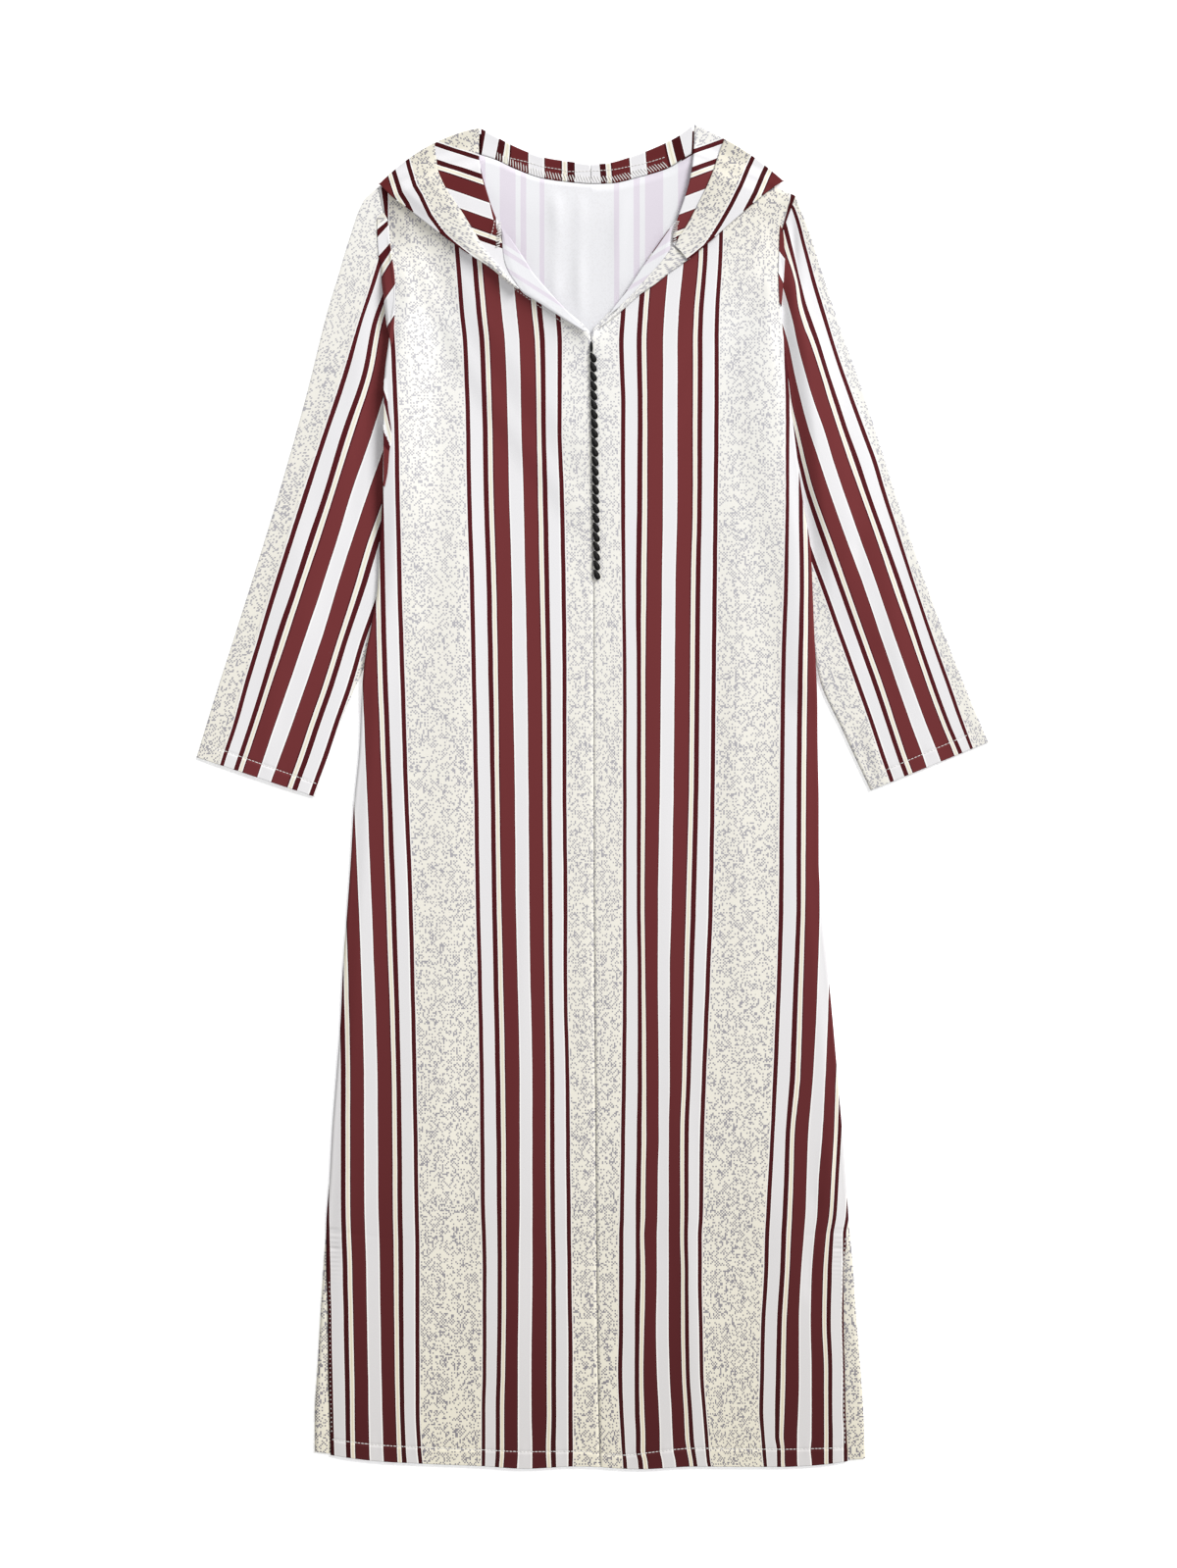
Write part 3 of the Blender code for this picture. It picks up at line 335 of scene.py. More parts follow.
SLEEVE_LINES = {
    "left": Lines((0, 18, 27, 41.5, 58, 72, 95.5), {
        200: (404, 424, 434, 450, 468, 483, 508), 290: (377, 394, 403, 419, 437, 452, 477),
        330: (364, 379.5, 388.5, 405.5, 424, 439, 464), 380: (349, 370, 379, 396, 414, 429, 454),
        440: (329, 349, 360, 378, 397, 412, 437), 500: (309, 331, 341, 357, 376, 393, 420),
        550: (293, 314, 325, 342, 359, 375, 403), 600: (277, 298, 308, 326, 343, 360, 387),
        650: (262, 281, 292, 309, 328, 344, 369), 700: (247, 266, 275, 292, 311, 328, 354),
        740: (236, 253, 262, 278, 297, 314, 340), 770: (226, 243, 252, 268, 286, 304, 330),
        800: (217, 233, 242, 258, 275, 293, 319), 820: (210, 226, 235, 251, 268, 286, 312)}),
    "right": Lines((0, 18, 27, 41.5, 58, 72, 95.5), {
        200: (803, 789, 782, 770, 757, 745, 726), 212: (812, 797, 789, 776, 762, 749, 729),
        250: (823, 808, 800, 787, 773, 760, 740),
        290: (834, 817, 812, 799, 785, 772, 752), 310: (840, 822, 814, 805, 791, 780, 760),
        330: (846, 829, 819, 810, 798, 788, 768), 350: (852, 836, 827, 814, 804, 797, 779),
        380: (862, 845, 837, 822, 810, 804, 786), 410: (873, 855, 846, 831, 817, 808, 790),
        440: (884, 865, 856, 842, 825, 815, 798), 470: (895, 876, 866, 851, 835, 822, 804),
        500: (904, 886, 877, 861, 845, 830, 810), 550: (920, 904, 895, 879, 863, 848, 824),
        600: (936, 922, 912, 897, 882, 866, 842), 650: (953, 938, 930, 914, 899, 884, 860),
        700: (971, 955, 947, 932, 916, 902, 878), 740: (985, 970, 962, 947, 930, 915, 892),
        770: (996, 983, 974, 959, 941, 925, 902), 820: (1013, 1001, 991, 976, 957, 944, 920)}),
}
# The inner edge of each side of the hood's first maroon line, and how much cloth a millimetre off it is.
FALL_LINE = {
    "left": table(Place,
        (412, 140), (419, 170), (425, 190), (431, 200), (440, 220), (454, 240), (465, 250), (480, 262),
        (500, 276)),
    "right": table(Place,
        (775, 140), (761, 170), (753, 190), (743, 210), (732, 230), (719, 250), (707, 260), (690, 272)),
}
FALL_SCALE = {"left": 1.05, "right": 1.03}
# The pattern on the hood's other face: what a millimetre across and down adds, where it starts, and how far
# across the board its tones start.
Slant = namedtuple("Slant", "across down start shift")
LINING = {"left": Slant(-0.326, 0.945, 8.6, 300), "right": Slant(0.355, 0.935, -393.5, 400)}
LINING_END = 91.5
# The pattern on the turned neck edges: a place, the cloth there, and what each millimetre off it adds.
NeckSlant = namedtuple("NeckSlant", "across down cloth each_across each_down")
NECK_SLANTS = {
    "neck_turn_left": NeckSlant(510.4, 254.3, 79.0, -0.636, 0.999),
    "neck_turn_right": NeckSlant(646.0, 291.3, 96.7, 0.616, 1.053),
}
# The pattern on the hood's stand, as places across the board and the cloth there.
STAND_CLOTH = {
    "left": ((488, 0), (494, 3.5), (509.9, 18), (514.4, 21.5), (520.2, 27), (537.6, 41.5), (555.4, 58),
             (572.4, 72), (578.7, 77.5), (583.1, 80.5), (602, 93)),
    "right": ((602, 5.5), (611.9, 18), (616.5, 21.5), (622.6, 27), (640.6, 41.5), (658.5, 58), (678, 72),
              (684.9, 77.5), (690.7, 80.5), (707, 94)),
}
# Small turned folds beside the armholes: the two ends of lines of the pattern, and the cloth on each line.
Tuck = namedtuple("Tuck", "fold fold_down seam seam_down cloth")
TUCKS = {
    "sleeve_edge_left": table(Tuck,
        (388.2, 191, 392.4, 222.5, -0.3), (390.4, 190.6, 393.8, 222.5, 1.8),
        (392.8, 190.4, 395.6, 223, 4.3)),
    "sleeve_edge_right": table(Tuck,
        (807.2, 198.6, 796.8, 236, 0.5), (809.2, 198.8, 797.4, 236, 2), (811.2, 199.4, 798, 236, 3.6)),
    "sleeve_turn_left": table(Tuck,
        (384.4, 222, 391, 216, -3), (384.2, 234, 395, 224.5, 0), (384.4, 241.2, 395.5, 229, 4.1),
        (385.9, 262.5, 397.7, 249, 18), (388, 270, 398.6, 254.2, 21.5), (388.6, 283, 400.2, 264.4, 27),
        (391, 306.5, 403, 289.5, 41.5), (394.4, 334.6, 402.6, 322.4, 57.8), (397, 343.6, 402, 336, 61),
        (399.4, 353, 401, 350, 64)),
    "sleeve_turn_right": table(Tuck,
        (798.8, 236, 795.6, 229, 31), (799.8, 250, 794.8, 240, 36), (800.3, 262, 794.4, 254, 41.6),
        (798.8, 289, 793.6, 279, 57.9), (797, 312, 794.6, 309, 66)),
    "side_turn_left": table(Tuck,
        (391, 388, 393.4, 386, 15), (391, 399, 396.2, 418, 17.8), (391, 407, 399.2, 440, 21.8),
        (391, 428, 398.5, 455, 26.6), (391.4, 450, 397.6, 459, 27.2), (391.4, 480, 395.6, 482, 38),
        (391, 496, 392.6, 497, 41)),
}

# --- colours, as 0 to 255 -----------------------------------------------------------
# GROUND_LOW is also the creamier ground, and SPECK_LOW also the darker specks at the hood.
# The first twelve colours come in pairs: a band's colour near the top, with a little painted light, then its
# painted shade lower down the robe, where the light falls off towards the hem.
MAROON = (118, 51, 53)
MAROON_SHADED = (78, 29, 31)
MAROON_EDGE = (84, 22, 28)  # the first thread of each maroon band, and the thin bands
MAROON_EDGE_SHADED = (58, 16, 18)
WHITE = (238, 237, 239)
WHITE_SHADED = (213, 210, 209)
CREAM_TONE = (244, 241, 226)
CREAM_SHADED = (226, 218, 196)
GROUND = (249, 248, 244)
GROUND_LOW = (228, 222, 204)
SPECK_TONE = (201, 200, 205)
SPECK_LOW = (134, 130, 136)
PALE = (236, 236, 239)
LAVENDER = (226, 219, 229)
BLACK = (11, 9, 9)
THREAD = (240, 238, 235)
HOOD_TONE, HOOD_FADE = 340.0, 260.0
SLEEVE_SHADE = {"left": 260.0, "right": 0.0}  # painted shade: how much lower on the board the left sleeve's speckled stretch takes its colours, as its outer edge curves away from the light
# Above this place down the board the colours turn darker and more contrasted, over this ramp and by this
# gamma.
DARKER_ABOVE, DARKER_RAMP, DARKER_GAMMA = 265.0, 60.0, 1.19
TONE_TOP, TONE_BOTTOM = 300.0, 1480.0  # the places down the board between which the painted shade darkens the colours
LATE_SHADE = 1.7  # how late the painted shade darkens the bands on the way down
# The bands' colours near the top, with a little painted light, and their painted shade lower down the robe.
TOP_TONES = {"maroon": MAROON, "edge": MAROON_EDGE, "white": WHITE, "cream": CREAM_TONE, "speckle": GROUND,
        "piping": (253, 253, 253), "line": (228, 221, 203)}
SHADED_LOW_TONES = {"maroon": MAROON_SHADED, "edge": MAROON_EDGE_SHADED, "white": WHITE_SHADED, "cream": CREAM_SHADED,
            "speckle": GROUND_LOW, "piping": (245, 242, 238), "line": (200, 187, 162)}
WRONG_DYES = {"maroon": LAVENDER, "white": PALE, "cream": PALE, "speckle": PALE}
WRONG_SPECK, WRONG_SPECKS = (226, 225, 227), 0.3  # the specks on the wrong side, and how far they show
MOST_CREAM, MIDDLE_CREAM = 0.7, 1.15  # how creamy the speckled ground gets at the hood and below the waist
FLOOR, FLOOR_LOW = (255, 255, 255), (248, 248, 248)

# --- the looks' fine detail: sizes in millimetres of cloth, scales as a texture takes them -----------
WANDER, WANDER_SCALE = 0.8, 0.02  # how far the bands stray from straight, and how slowly
FRAY, FRAY_SCALE = 0.3, 0.7  # how uneven their edges are
CLOUD, CLOUD_SCALE = 0.2, 0.05  # how unevenly the specks are spread
SpeckLayer = namedtuple("SpeckLayer", "wide high share every_other")
SPECK_LAYERS = table(SpeckLayer, (1, 1, 0.06, 0.8), (1, 2, 0.04, 0.0))
THREAD_LEAST, THREAD_MORE = 0.8, 0.4  # how many of its specks a thread has, at least and by how much more
SPECKS_START, SPECKS_END = 1.4, 1.2  # how far inside its band's edges the speckled ground starts and ends
WARP, WEFT = 1.05, 0.95  # the pitch of the threads
THREAD_SHARE, SLUB_SCALE = 0.35, 0.9  # how far the threads show among the yarn's own thick places
TWIST_SCALE, FUZZ_SCALE = 900.0, 400.0  # for the braid's cord and the sewing thread, per metre
BUMP_DEPTH = 0.0002


# --- curves and heights, on arrays ------------------------------------------------------
def smoothstep(x):
    x = np.clip(x, 0.0, 1.0)
    return x * x * (3.0 - 2.0 * x)


def within(x, span):
    """1 between the span's ends and 0 beyond them, with soft steps."""
    return smoothstep((x - span.start) / span.rise) * smoothstep((span.end - x) / span.fall)


def bump_at(x, middle, width):
    return np.exp(-(((x - middle) / width) ** 2))


def smooth_curve(x, xs, ys):
    """Values at x of the curve through (xs, ys), which has no overshoot between them."""
    xs, ys = np.asarray(xs, float), np.asarray(ys, float)
    slopes = np.diff(ys) / np.diff(xs)
    tangents = np.zeros_like(ys)
    tangents[0], tangents[-1] = slopes[0], slopes[-1]
    rising = slopes[:-1] * slopes[1:] > 0
    harmonic = 2 * slopes[:-1] * slopes[1:] / np.where(rising, slopes[:-1] + slopes[1:], 1.0)
    tangents[1:-1] = np.where(rising, harmonic, 0.0)
    x = np.clip(np.asarray(x, float), xs[0], xs[-1])
    i = np.clip(np.searchsorted(xs, x, side="right") - 1, 0, len(xs) - 2)
    width = xs[i + 1] - xs[i]
    t = (x - xs[i]) / width
    start = (1 + 2 * t) * (1 - t) ** 2 * ys[i] + t * (1 - t) ** 2 * width * tangents[i]
    end = t * t * (3 - 2 * t) * ys[i + 1] - t * t * (1 - t) * width * tangents[i + 1]
    return start + end


def across_at(places, down):
    return smooth_curve(down, [p.down for p in places], [p.across for p in places])


def down_at(places, across):
    return smooth_curve(across, [p.across for p in places], [p.down for p in places])


def along(places, share):
    """Points, as (across, down), at shares of the way along a curve through these places."""
    points = np.array(places, float)
    steps = np.hypot(*np.diff(points, axis=0).T)
    lengths = np.concatenate([[0.0], np.cumsum(steps)]) / steps.sum()
    return smooth_curve(share, lengths, points[:, 0]), smooth_curve(share, lengths, points[:, 1])


def between(rows, share):
    """The table's columns at shares of the way through it."""
    steps = np.linspace(0.0, 1.0, len(rows))
    return type(rows[0])(*(smooth_curve(share, steps, column) for column in zip(*rows)))


def distance_to(path, across, down):
    """Distance from each point to a line of points."""
    best = np.full(np.broadcast(across, down).shape, 1e9)
    for (x0, y0), (x1, y1) in zip(path[:-1], path[1:]):
        run = np.array([x1 - x0, y1 - y0])
        share = np.clip(((across - x0) * run[0] + (down - y0) * run[1]) / (run @ run), 0, 1)
        best = np.minimum(best, np.hypot(across - x0 - share * run[0], down - y0 - share * run[1]))
    return best


def ridges(folds, across, down):
    """How high soft folds stand, a little uneven along their length."""
    total = np.zeros(np.broadcast(across, down).shape)
    for i, fold in enumerate(folds):
        share = (down - fold.down) / (fold.end_down - fold.down)
        bend = FOLD_BEND * fold.width * np.sin(share * FOLD_BENDS + i)
        middle = fold.across + (fold.end_across - fold.across) * share + bend
        height = fold.height * (FOLD_LOW + FOLD_SWELL * np.sin(share * FOLD_SWELLS + 2 * i))
        total = total + height * within(share, FOLD_ENDS) * bump_at(across, middle, fold.width)
    return total


def edge_lift(across, down):
    """How high the left front stands along its lifted edge and beside it."""
    below = (down > down_at(LIFTED_EDGE, across)) | (across > LIFTED_EDGE[-1].across)
    away = distance_to(LIFTED_EDGE, across, down)
    lift = smooth_curve(across, LIFT_ACROSS, LIFT_HEIGHTS)
    return lift * np.exp(-away / np.where(below, LIFT_BELOW, LIFT_ABOVE))


def bag_top(across, down):
    """Height of the hood's hidden layers, which fades outside their outline."""
    columns = list(zip(*BAG))
    top, bottom, thick = (smooth_curve(across, columns[0], column) for column in columns[1:])
    beside = np.maximum(np.maximum(columns[0][0] - across, across - columns[0][-1]), 0.0)
    inside = np.minimum(down - top, bottom - down) - beside
    rises = BAG_EDGE + (1 - BAG_EDGE) * smoothstep(inside / BAG_RAMP)
    fades = BAG_EDGE * smoothstep(1 + inside / BAG_RAMP)
    return thick * np.where(inside >= 0, rises, fades)


def sleeve_lift(across, down):
    """How far the sleeves' hidden edges lift the body."""
    held = 0.0
    for side, sign in SIDES.items():
        inward = sign * (across_at(SLEEVES[side].inner, down) - across)
        held = held + smoothstep((SLEEVE_RAMP + SLEEVE_REACH - inward) / SLEEVE_RAMP)
    inward = across - body_edges(down)[0]
    more = LEFT_LIFT * within(down, LEFT_HELD) * smoothstep((LEFT_REACH - inward) / LEFT_RAMP)
    return SLEEVE_LIFT * np.minimum(held, 1.0) * within(down, SLEEVE_HELD) + more


def under_back(across, down):
    """Height of the back panel's underside."""
    bag = bag_top(across, down)
    folds = ridges(BACK_FOLDS, across, down)
    return bag + BAG_LIFT * smoothstep(bag / BAG_SOFT) + sleeve_lift(across, down) + folds


def body_edges(down):
    """The robe's two side edges, from the shoulders to the hem."""
    rows = [(r.left_down, r.left, r.right_down, r.right) for r in NECK_ROWS]
    rows += [(r.down, r.left, r.down, r.right) for r in BODY_ROWS]
    left_down, left, right_down, right = zip(*rows)
    return smooth_curve(down, left_down, left), smooth_curve(down, right_down, right)


def shoulder_down(across):
    """The shoulder seams' line, carried on past the neck points."""
    first = NECK_ROWS[0]
    left_slope = (first.neck_down - first.left_down) / (first.neck_left - first.left)
    right_slope = (first.neck_down - first.right_down) / (first.right - first.neck_right)
    left = first.left_down + (across - first.left) * left_slope
    right = first.right_down + (first.right - across) * right_slope
    return np.maximum(left, right)


def front_gap(across, down):
    """Distance between the front and the back under it."""
    left, right = body_edges(down)
    nearest = np.minimum(np.minimum(across - left, right - across), down - shoulder_down(across))
    opened = smoothstep(np.maximum(nearest, 0.0) / LOOSEN)
    puff = EDGE_PUFF * smoothstep((SLIT_TOP + PUFF_PAST - down) / PUFF_RAMP)
    loose = LOOSE - SEAM + puff + ridges(FRONT_FOLDS, across, down)
    return SEAM + loose * opened + edge_lift(across, down) * opened


def stitched(beyond, puckers, shape):
    """The relief beside a line of stitches: its groove and puckers, and the doubled cloth beyond it."""
    step = shape.step * smoothstep(beyond / shape.ramp)
    return step - shape.groove * bump_at(beyond, 0, shape.width) + shape.pucker * puckers


def hem_relief(across, down):
    """The hem's stitching, and the crease at the centre seam."""
    below = down - down_at(STITCH_LINE, across)
    waves = np.sin(across * 2 * np.pi / PUCKER_PITCH + 2.2 * np.sin(across / 31))
    crease = bump_at(across, across_at(CENTRE_SEAM, down), CREASE_WIDTH)
    crease = crease * (CREASE_TOP + CREASE_MORE * smoothstep((down - CREASE_FROM) / CREASE_RAMP))
    return stitched(below, waves * bump_at(below, 0, PUCKER_WIDTH), HEM_RELIEF) - crease


def slit_relief(across, down):
    """The pull in the cloth at the top of each side slit, and the puckers of its turned edge."""
    left, right = body_edges(down)
    inward = np.minimum(across - left, right - across)
    pull = bump_at(down, SLIT_PULL_DOWN + inward * SLIT_PULL_SLANT, SLIT_PULL_WIDTH)
    pull = pull * np.exp(-inward / SLIT_PULL_LENGTH)
    beside = bump_at(inward, SLIT_EDGE, SLIT_EDGE_WIDTH)
    waves = np.sin(down * 2 * np.pi / SLIT_WAVE_PITCH + 1.7 * np.sin(down / 13))
    waves = waves * beside * within(down, SLIT_WAVES)
    pucker = bump_at(down, SLIT_PUCKER_DOWN, SLIT_PUCKER_WIDTH) * beside
    return SLIT_WAVE * waves - SLIT_PUCKER * pucker - SLIT_PULL * pull


def stand_top(across, down):
    """Height of the hood's stand, and of the back panel's inner face."""
    return under_back(across, down) + CLOTH


def strip_top(across, down):
    """Height of the hood's lower layer, on which the neck's turned edges lie."""
    return over_body(across, down) + OVER + CLOTH


def over_body(across, down):
    """Height of the body's upper surface, which falls to the hood's layers past the shoulders."""
    covered = smoothstep((down - shoulder_down(across) + SHOULDER_SOFT) / SHOULDER_SOFT)
    return under_back(across, down) + covered * (2 * CLOTH + front_gap(across, down))


# --- pattern --------------------------------------------------------------------------
def cloth_across(lines, across, down):
    """Where on the cloth's pattern each point lies, from the lines on either side of it."""
    downs = list(lines.rows)
    places = [smooth_curve(down, downs, column) for column in zip(*lines.rows.values())]
    values = list(lines.cloth)
    if places[0].mean() > places[-1].mean():
        places, values = places[::-1], values[::-1]
    cloth = np.zeros_like(across)
    for i in range(len(values) - 1):
        rate = (values[i + 1] - values[i]) / (places[i + 1] - places[i])
        inside = (across >= places[i]) | (i == 0)
        inside &= (across < places[i + 1]) | (i == len(values) - 2)
        cloth = np.where(inside, values[i] + (across - places[i]) * rate, cloth)
    return cloth


# --- meshes -----------------------------------------------------------------------------
robe = bpy.data.collections.new("robe_looks")


def new_piece(name, points, faces, materials, uvs=None):
    """A mesh object from points on the board, with a pattern place for each point."""
    points = np.asarray(points, float)
    world = np.column_stack([
        (points[:, 0] - BOARD_MIDDLE[0]) * MM, (BOARD_MIDDLE[1] - points[:, 1]) * MM, points[:, 2] * MM])
    mesh = bpy.data.meshes.new(name)
    mesh.from_pydata(world.tolist(), [], faces.tolist() if hasattr(faces, "tolist") else faces)
    mesh.update()
    corners = np.zeros(len(mesh.loops), np.int32)
    mesh.loops.foreach_get("vertex_index", corners)
    for layer, (u, v) in (uvs or {}).items():
        made = mesh.uv_layers.new(name=layer)
        values = np.column_stack([np.ravel(u), np.ravel(v)])[corners]
        made.uv.foreach_set("vector", values.astype(np.float32).ravel())
    mesh.shade_smooth()
    for material in materials:
        mesh.materials.append(material)
    made = bpy.data.objects.new(name, mesh)
    robe.objects.link(made)
    return made


def shares(columns, rows):
    """A grid of places on a sheet: each one's share across it and its share along it."""
    return np.meshgrid(np.linspace(0, 1, columns), np.linspace(0, 1, rows))


def ring_faces(rings, sides):
    """The faces between rings of points, each ring closed on itself."""
    index = np.arange(rings * sides).reshape(rings, sides)
    after = np.roll(index, -1, axis=1)
    return np.stack([index[:-1], after[:-1], after[1:], index[1:]], -1).reshape(-1, 4)


def joined(shapes):
    """The points and faces of many small shapes as those of one."""
    points, faces, count = [], [], 0
    for more_points, more_faces in shapes:
        points.append(more_points)
        faces.append(more_faces + count)
        count += len(more_points)
    return np.concatenate(points), np.concatenate(faces)


def grid_faces(rows, columns):
    index = np.arange(rows * columns).reshape(rows, columns)
    return np.stack([index[:-1, :-1], index[1:, :-1], index[1:, 1:], index[:-1, 1:]], -1).reshape(-1, 4)


def sheet_piece(name, across, down, height, uvs, materials, wall=0.6, rim=0):
    """A sheet of cloth through a grid of points on its outer face, with its wall inside that face.

    The last column's faces look up, as in the part's source.
    """
    faces = grid_faces(*across.shape)
    points = np.column_stack([np.ravel(across), np.ravel(down), np.ravel(height)])
    last = faces.reshape(across.shape[0] - 1, across.shape[1] - 1, 4)[:, -1].reshape(-1, 4)
    a, b, d = (points[last[:, k]] for k in (0, 1, 3))
    if np.cross(b - a, d - a)[:, 2].sum() > 0:  # down the board is -y, which turns every face round
        faces = faces[:, ::-1]
    made = new_piece(name, points, faces, materials, uvs)
    solid = made.modifiers.new("Wall", "SOLIDIFY")
    solid.thickness = wall * MM
    solid.offset = -1.0
    solid.use_rim = True
    solid.material_offset = 1
    solid.material_offset_rim = rim
    return made


# --- materials --------------------------------------------------------------------------
def linear(tone):
    """The linear light of a tone written as 0 to 255."""
    shares = [c / 255 for c in tone]
    return tuple(c / 12.92 if c <= 0.04045 else ((c + 0.055) / 1.055) ** 2.4 for c in shares)


class Nodes:
    """A material and short calls that add nodes to it."""

    def __init__(self, name, roughness, sheen=0.0, specular=0.3):
        self.material = bpy.data.materials.new(name)
        self.material.use_nodes = True
        self.tree = self.material.node_tree
        self.shader = self.tree.nodes["Principled BSDF"]
        self.shader.inputs["Roughness"].default_value = roughness
        self.shader.inputs["Sheen Weight"].default_value = sheen
        self.shader.inputs["Sheen Roughness"].default_value = 0.5
        self.shader.inputs["Specular IOR Level"].default_value = specular

    def add(self, kind, inputs=(), **settings):
        node = self.tree.nodes.new(kind)
        for key, value in settings.items():
            setattr(node, key, value)
        for key, value in dict(inputs).items():
            if isinstance(value, bpy.types.NodeSocket):
                self.tree.links.new(value, node.inputs[key])
            else:
                node.inputs[key].default_value = value
        return node

    def math(self, operation, a, b=0.0, c=0.0):
        return self.add("ShaderNodeMath", {0: a, 1: b, 2: c}, operation=operation).outputs[0]

    def times(self, a, b):
        return self.math("MULTIPLY", a, b)

    def minus(self, a, b):
        return self.math("SUBTRACT", a, b)

    def varied(self, noise, swing, middle):
        """A noise from 0 to 1, made to swing this much about a new middle."""
        return self.math("MULTIPLY_ADD", self.minus(noise, 0.5), swing, middle)

    def passed(self, a, b, over, most=1.0):
        """How far a is past b, as a share of over, from 0 to the most."""
        share = self.times(self.minus(a, b), 1 / over)
        return self.add("ShaderNodeClamp", {0: share, 2: most}).outputs[0]

    def noise(self, place, scale, detail):
        inputs = {"Vector": place, "Scale": scale, "Detail": detail}
        return self.add("ShaderNodeTexNoise", inputs).outputs[0]

    def mix(self, share, a, b):
        """A colour between two, each a socket or a 0-to-255 tone."""
        ends = [(*linear(x), 1.0) if isinstance(x, tuple) else x for x in (a, b)]
        node = self.add("ShaderNodeMix", {0: share, 6: ends[0], 7: ends[1]}, data_type="RGBA")
        return node.outputs[2]

    def ramp(self, value, stops, interpolation="LINEAR"):
        node = self.add("ShaderNodeValToRGB", {0: value})
        node.color_ramp.interpolation = interpolation
        elements = node.color_ramp.elements
        while len(elements) > 1:
            elements.remove(elements[-1])
        for i, (place, tone) in enumerate(stops):
            element = elements[0] if i == 0 else elements.new(place)
            element.position = place
            element.color = (*linear(tone), 1.0) if len(tone) == 3 else (tone[0],) * 3 + (1.0,)
        return node.outputs[0]

    def link(self, value, key):
        self.tree.links.new(value, self.shader.inputs[key])

    def bump(self, height, strength):
        node = self.add("ShaderNodeBump", {"Strength": strength, "Distance": BUMP_DEPTH, "Height": height})
        self.link(node.outputs[0], "Normal")


def pattern_stops(colours, lines=True):
    """The ramp's stops over one repeat, with the fine lines beside and inside the bands."""
    stops = []
    ends = [band.start for band in BANDS[1:]] + [REPEAT]
    for band, end in zip(BANDS, ends):
        start, own, edge = band.start, colours[band.kind], colours.get("edge")
        if not lines:
            stops.append((start, own))
        elif band.kind == "maroon" and end - start < THIN:
            stops.append((start, edge))
        elif band.kind == "maroon":
            stops += [(start, edge), (start + EDGE_LINE, own), (end - EDGE_LINE, edge)]
        else:
            stops += [(start, colours["piping"]), (start + PIPING, own)]
            if band.kind == "cream":
                middle = (start + end) / 2
                stops += [(middle - CREAM_LINE / 2, colours["line"]), (middle + CREAM_LINE / 2, own)]
            stops.append((end - PIPING, colours["piping"]))
    return [(place / REPEAT, tone) for place, tone in stops]


def bands_with_painted_shade(make, repeat, down_share):
    """The right side's bands, painted lighter near the top and darker lower down as shade where the light
    falls off; they keep their colour down to about the knees, then darken.
    """
    top = make.ramp(repeat, pattern_stops(TOP_TONES), "CONSTANT")
    bottom = make.ramp(repeat, pattern_stops(SHADED_LOW_TONES), "CONSTANT")
    return make.mix(make.math("POWER", down_share, LATE_SHADE), top, bottom)


def specks(make, place):
    """1 on the woven flecks, which are single or in short runs down the cloth, and 0 beside them."""
    cloud = make.times(make.minus(make.noise(place, CLOUD_SCALE, 3.0), 0.5), CLOUD)
    clear = None
    for layer in SPECK_LAYERS:
        scale = (1 / SPECK / layer.wide, 1 / SPECK / layer.high, 0)
        cell = make.add("ShaderNodeVectorMath", {0: place, 1: scale}, operation="MULTIPLY").outputs[0]
        cell = make.add("ShaderNodeVectorMath", {0: cell}, operation="FLOOR").outputs[0]
        chance = make.add("ShaderNodeTexWhiteNoise", {0: cell}, noise_dimensions="2D").outputs[0]
        corner = make.add("ShaderNodeSeparateXYZ", {0: cell}).outputs
        parity = make.math("FRACT", make.times(make.math("ADD", corner[0], corner[1]), 0.5))
        # each thread down the cloth has its own share of specks
        thread = make.add("ShaderNodeTexWhiteNoise", {1: corner[0]}, noise_dimensions="1D").outputs[0]
        limit = make.math("MULTIPLY_ADD", parity, layer.every_other, make.math("ADD", cloud, layer.share))
        limit = make.times(limit, make.math("MULTIPLY_ADD", thread, THREAD_MORE, THREAD_LEAST))
        none = make.math("GREATER_THAN", chance, limit)
        clear = none if clear is None else make.times(clear, none)
    return make.minus(1.0, clear)


def speckled_and_shaded(make, colour, speck, ground, down_share, down):
    """The right side with its specks, its creamier ground, its specks' painted shade lower down and its
    colours darker near the top.
    """
    # the speckled ground is creamier at the shoulders and hood, and again from the waist down
    high = make.passed(HOOD_TONE, down, HOOD_FADE, MOST_CREAM)
    middle = make.times(make.times(down_share, make.minus(1.0, down_share)), MIDDLE_CREAM)
    creamier = make.times(make.math("MAXIMUM", high, middle), ground)
    colour = make.mix(creamier, colour, GROUND_LOW)
    # the specks are painted darker lower down, as shade where the light falls off, and darker at the hood
    tone = make.mix(make.math("MAXIMUM", down_share, high), SPECK_TONE, SPECK_LOW)
    colour = make.mix(speck, colour, tone)
    # darker, more contrasted colours near the top, at the hood and shoulders
    deeper = make.math("MULTIPLY_ADD", make.passed(DARKER_ABOVE, down, DARKER_RAMP), DARKER_GAMMA - 1.0, 1.0)
    return make.add("ShaderNodeGamma", {0: colour, 1: deeper}).outputs[0]


def woven(make, place, across, down, colour):
    """Adds the threads, fine lines both ways, to the colour and the relief."""
    warp = make.math("SINE", make.times(across, 2 * math.pi / WARP))
    weft = make.math("SINE", make.times(down, 2 * math.pi / WEFT))
    threads = make.times(warp, weft)
    slub = make.noise(place, SLUB_SCALE, 4.0)
    weave = make.math("MULTIPLY_ADD", threads, THREAD_SHARE, slub)
    shade = make.varied(weave, 0.08, 0.985)
    shaded = make.add("ShaderNodeHueSaturation", {"Value": shade, "Color": colour}).outputs[0]
    make.link(shaded, "Base Color")
    make.bump(weave, 0.2)
    make.link(make.math("MULTIPLY_ADD", slub, 0.2, 0.62), "Roughness")


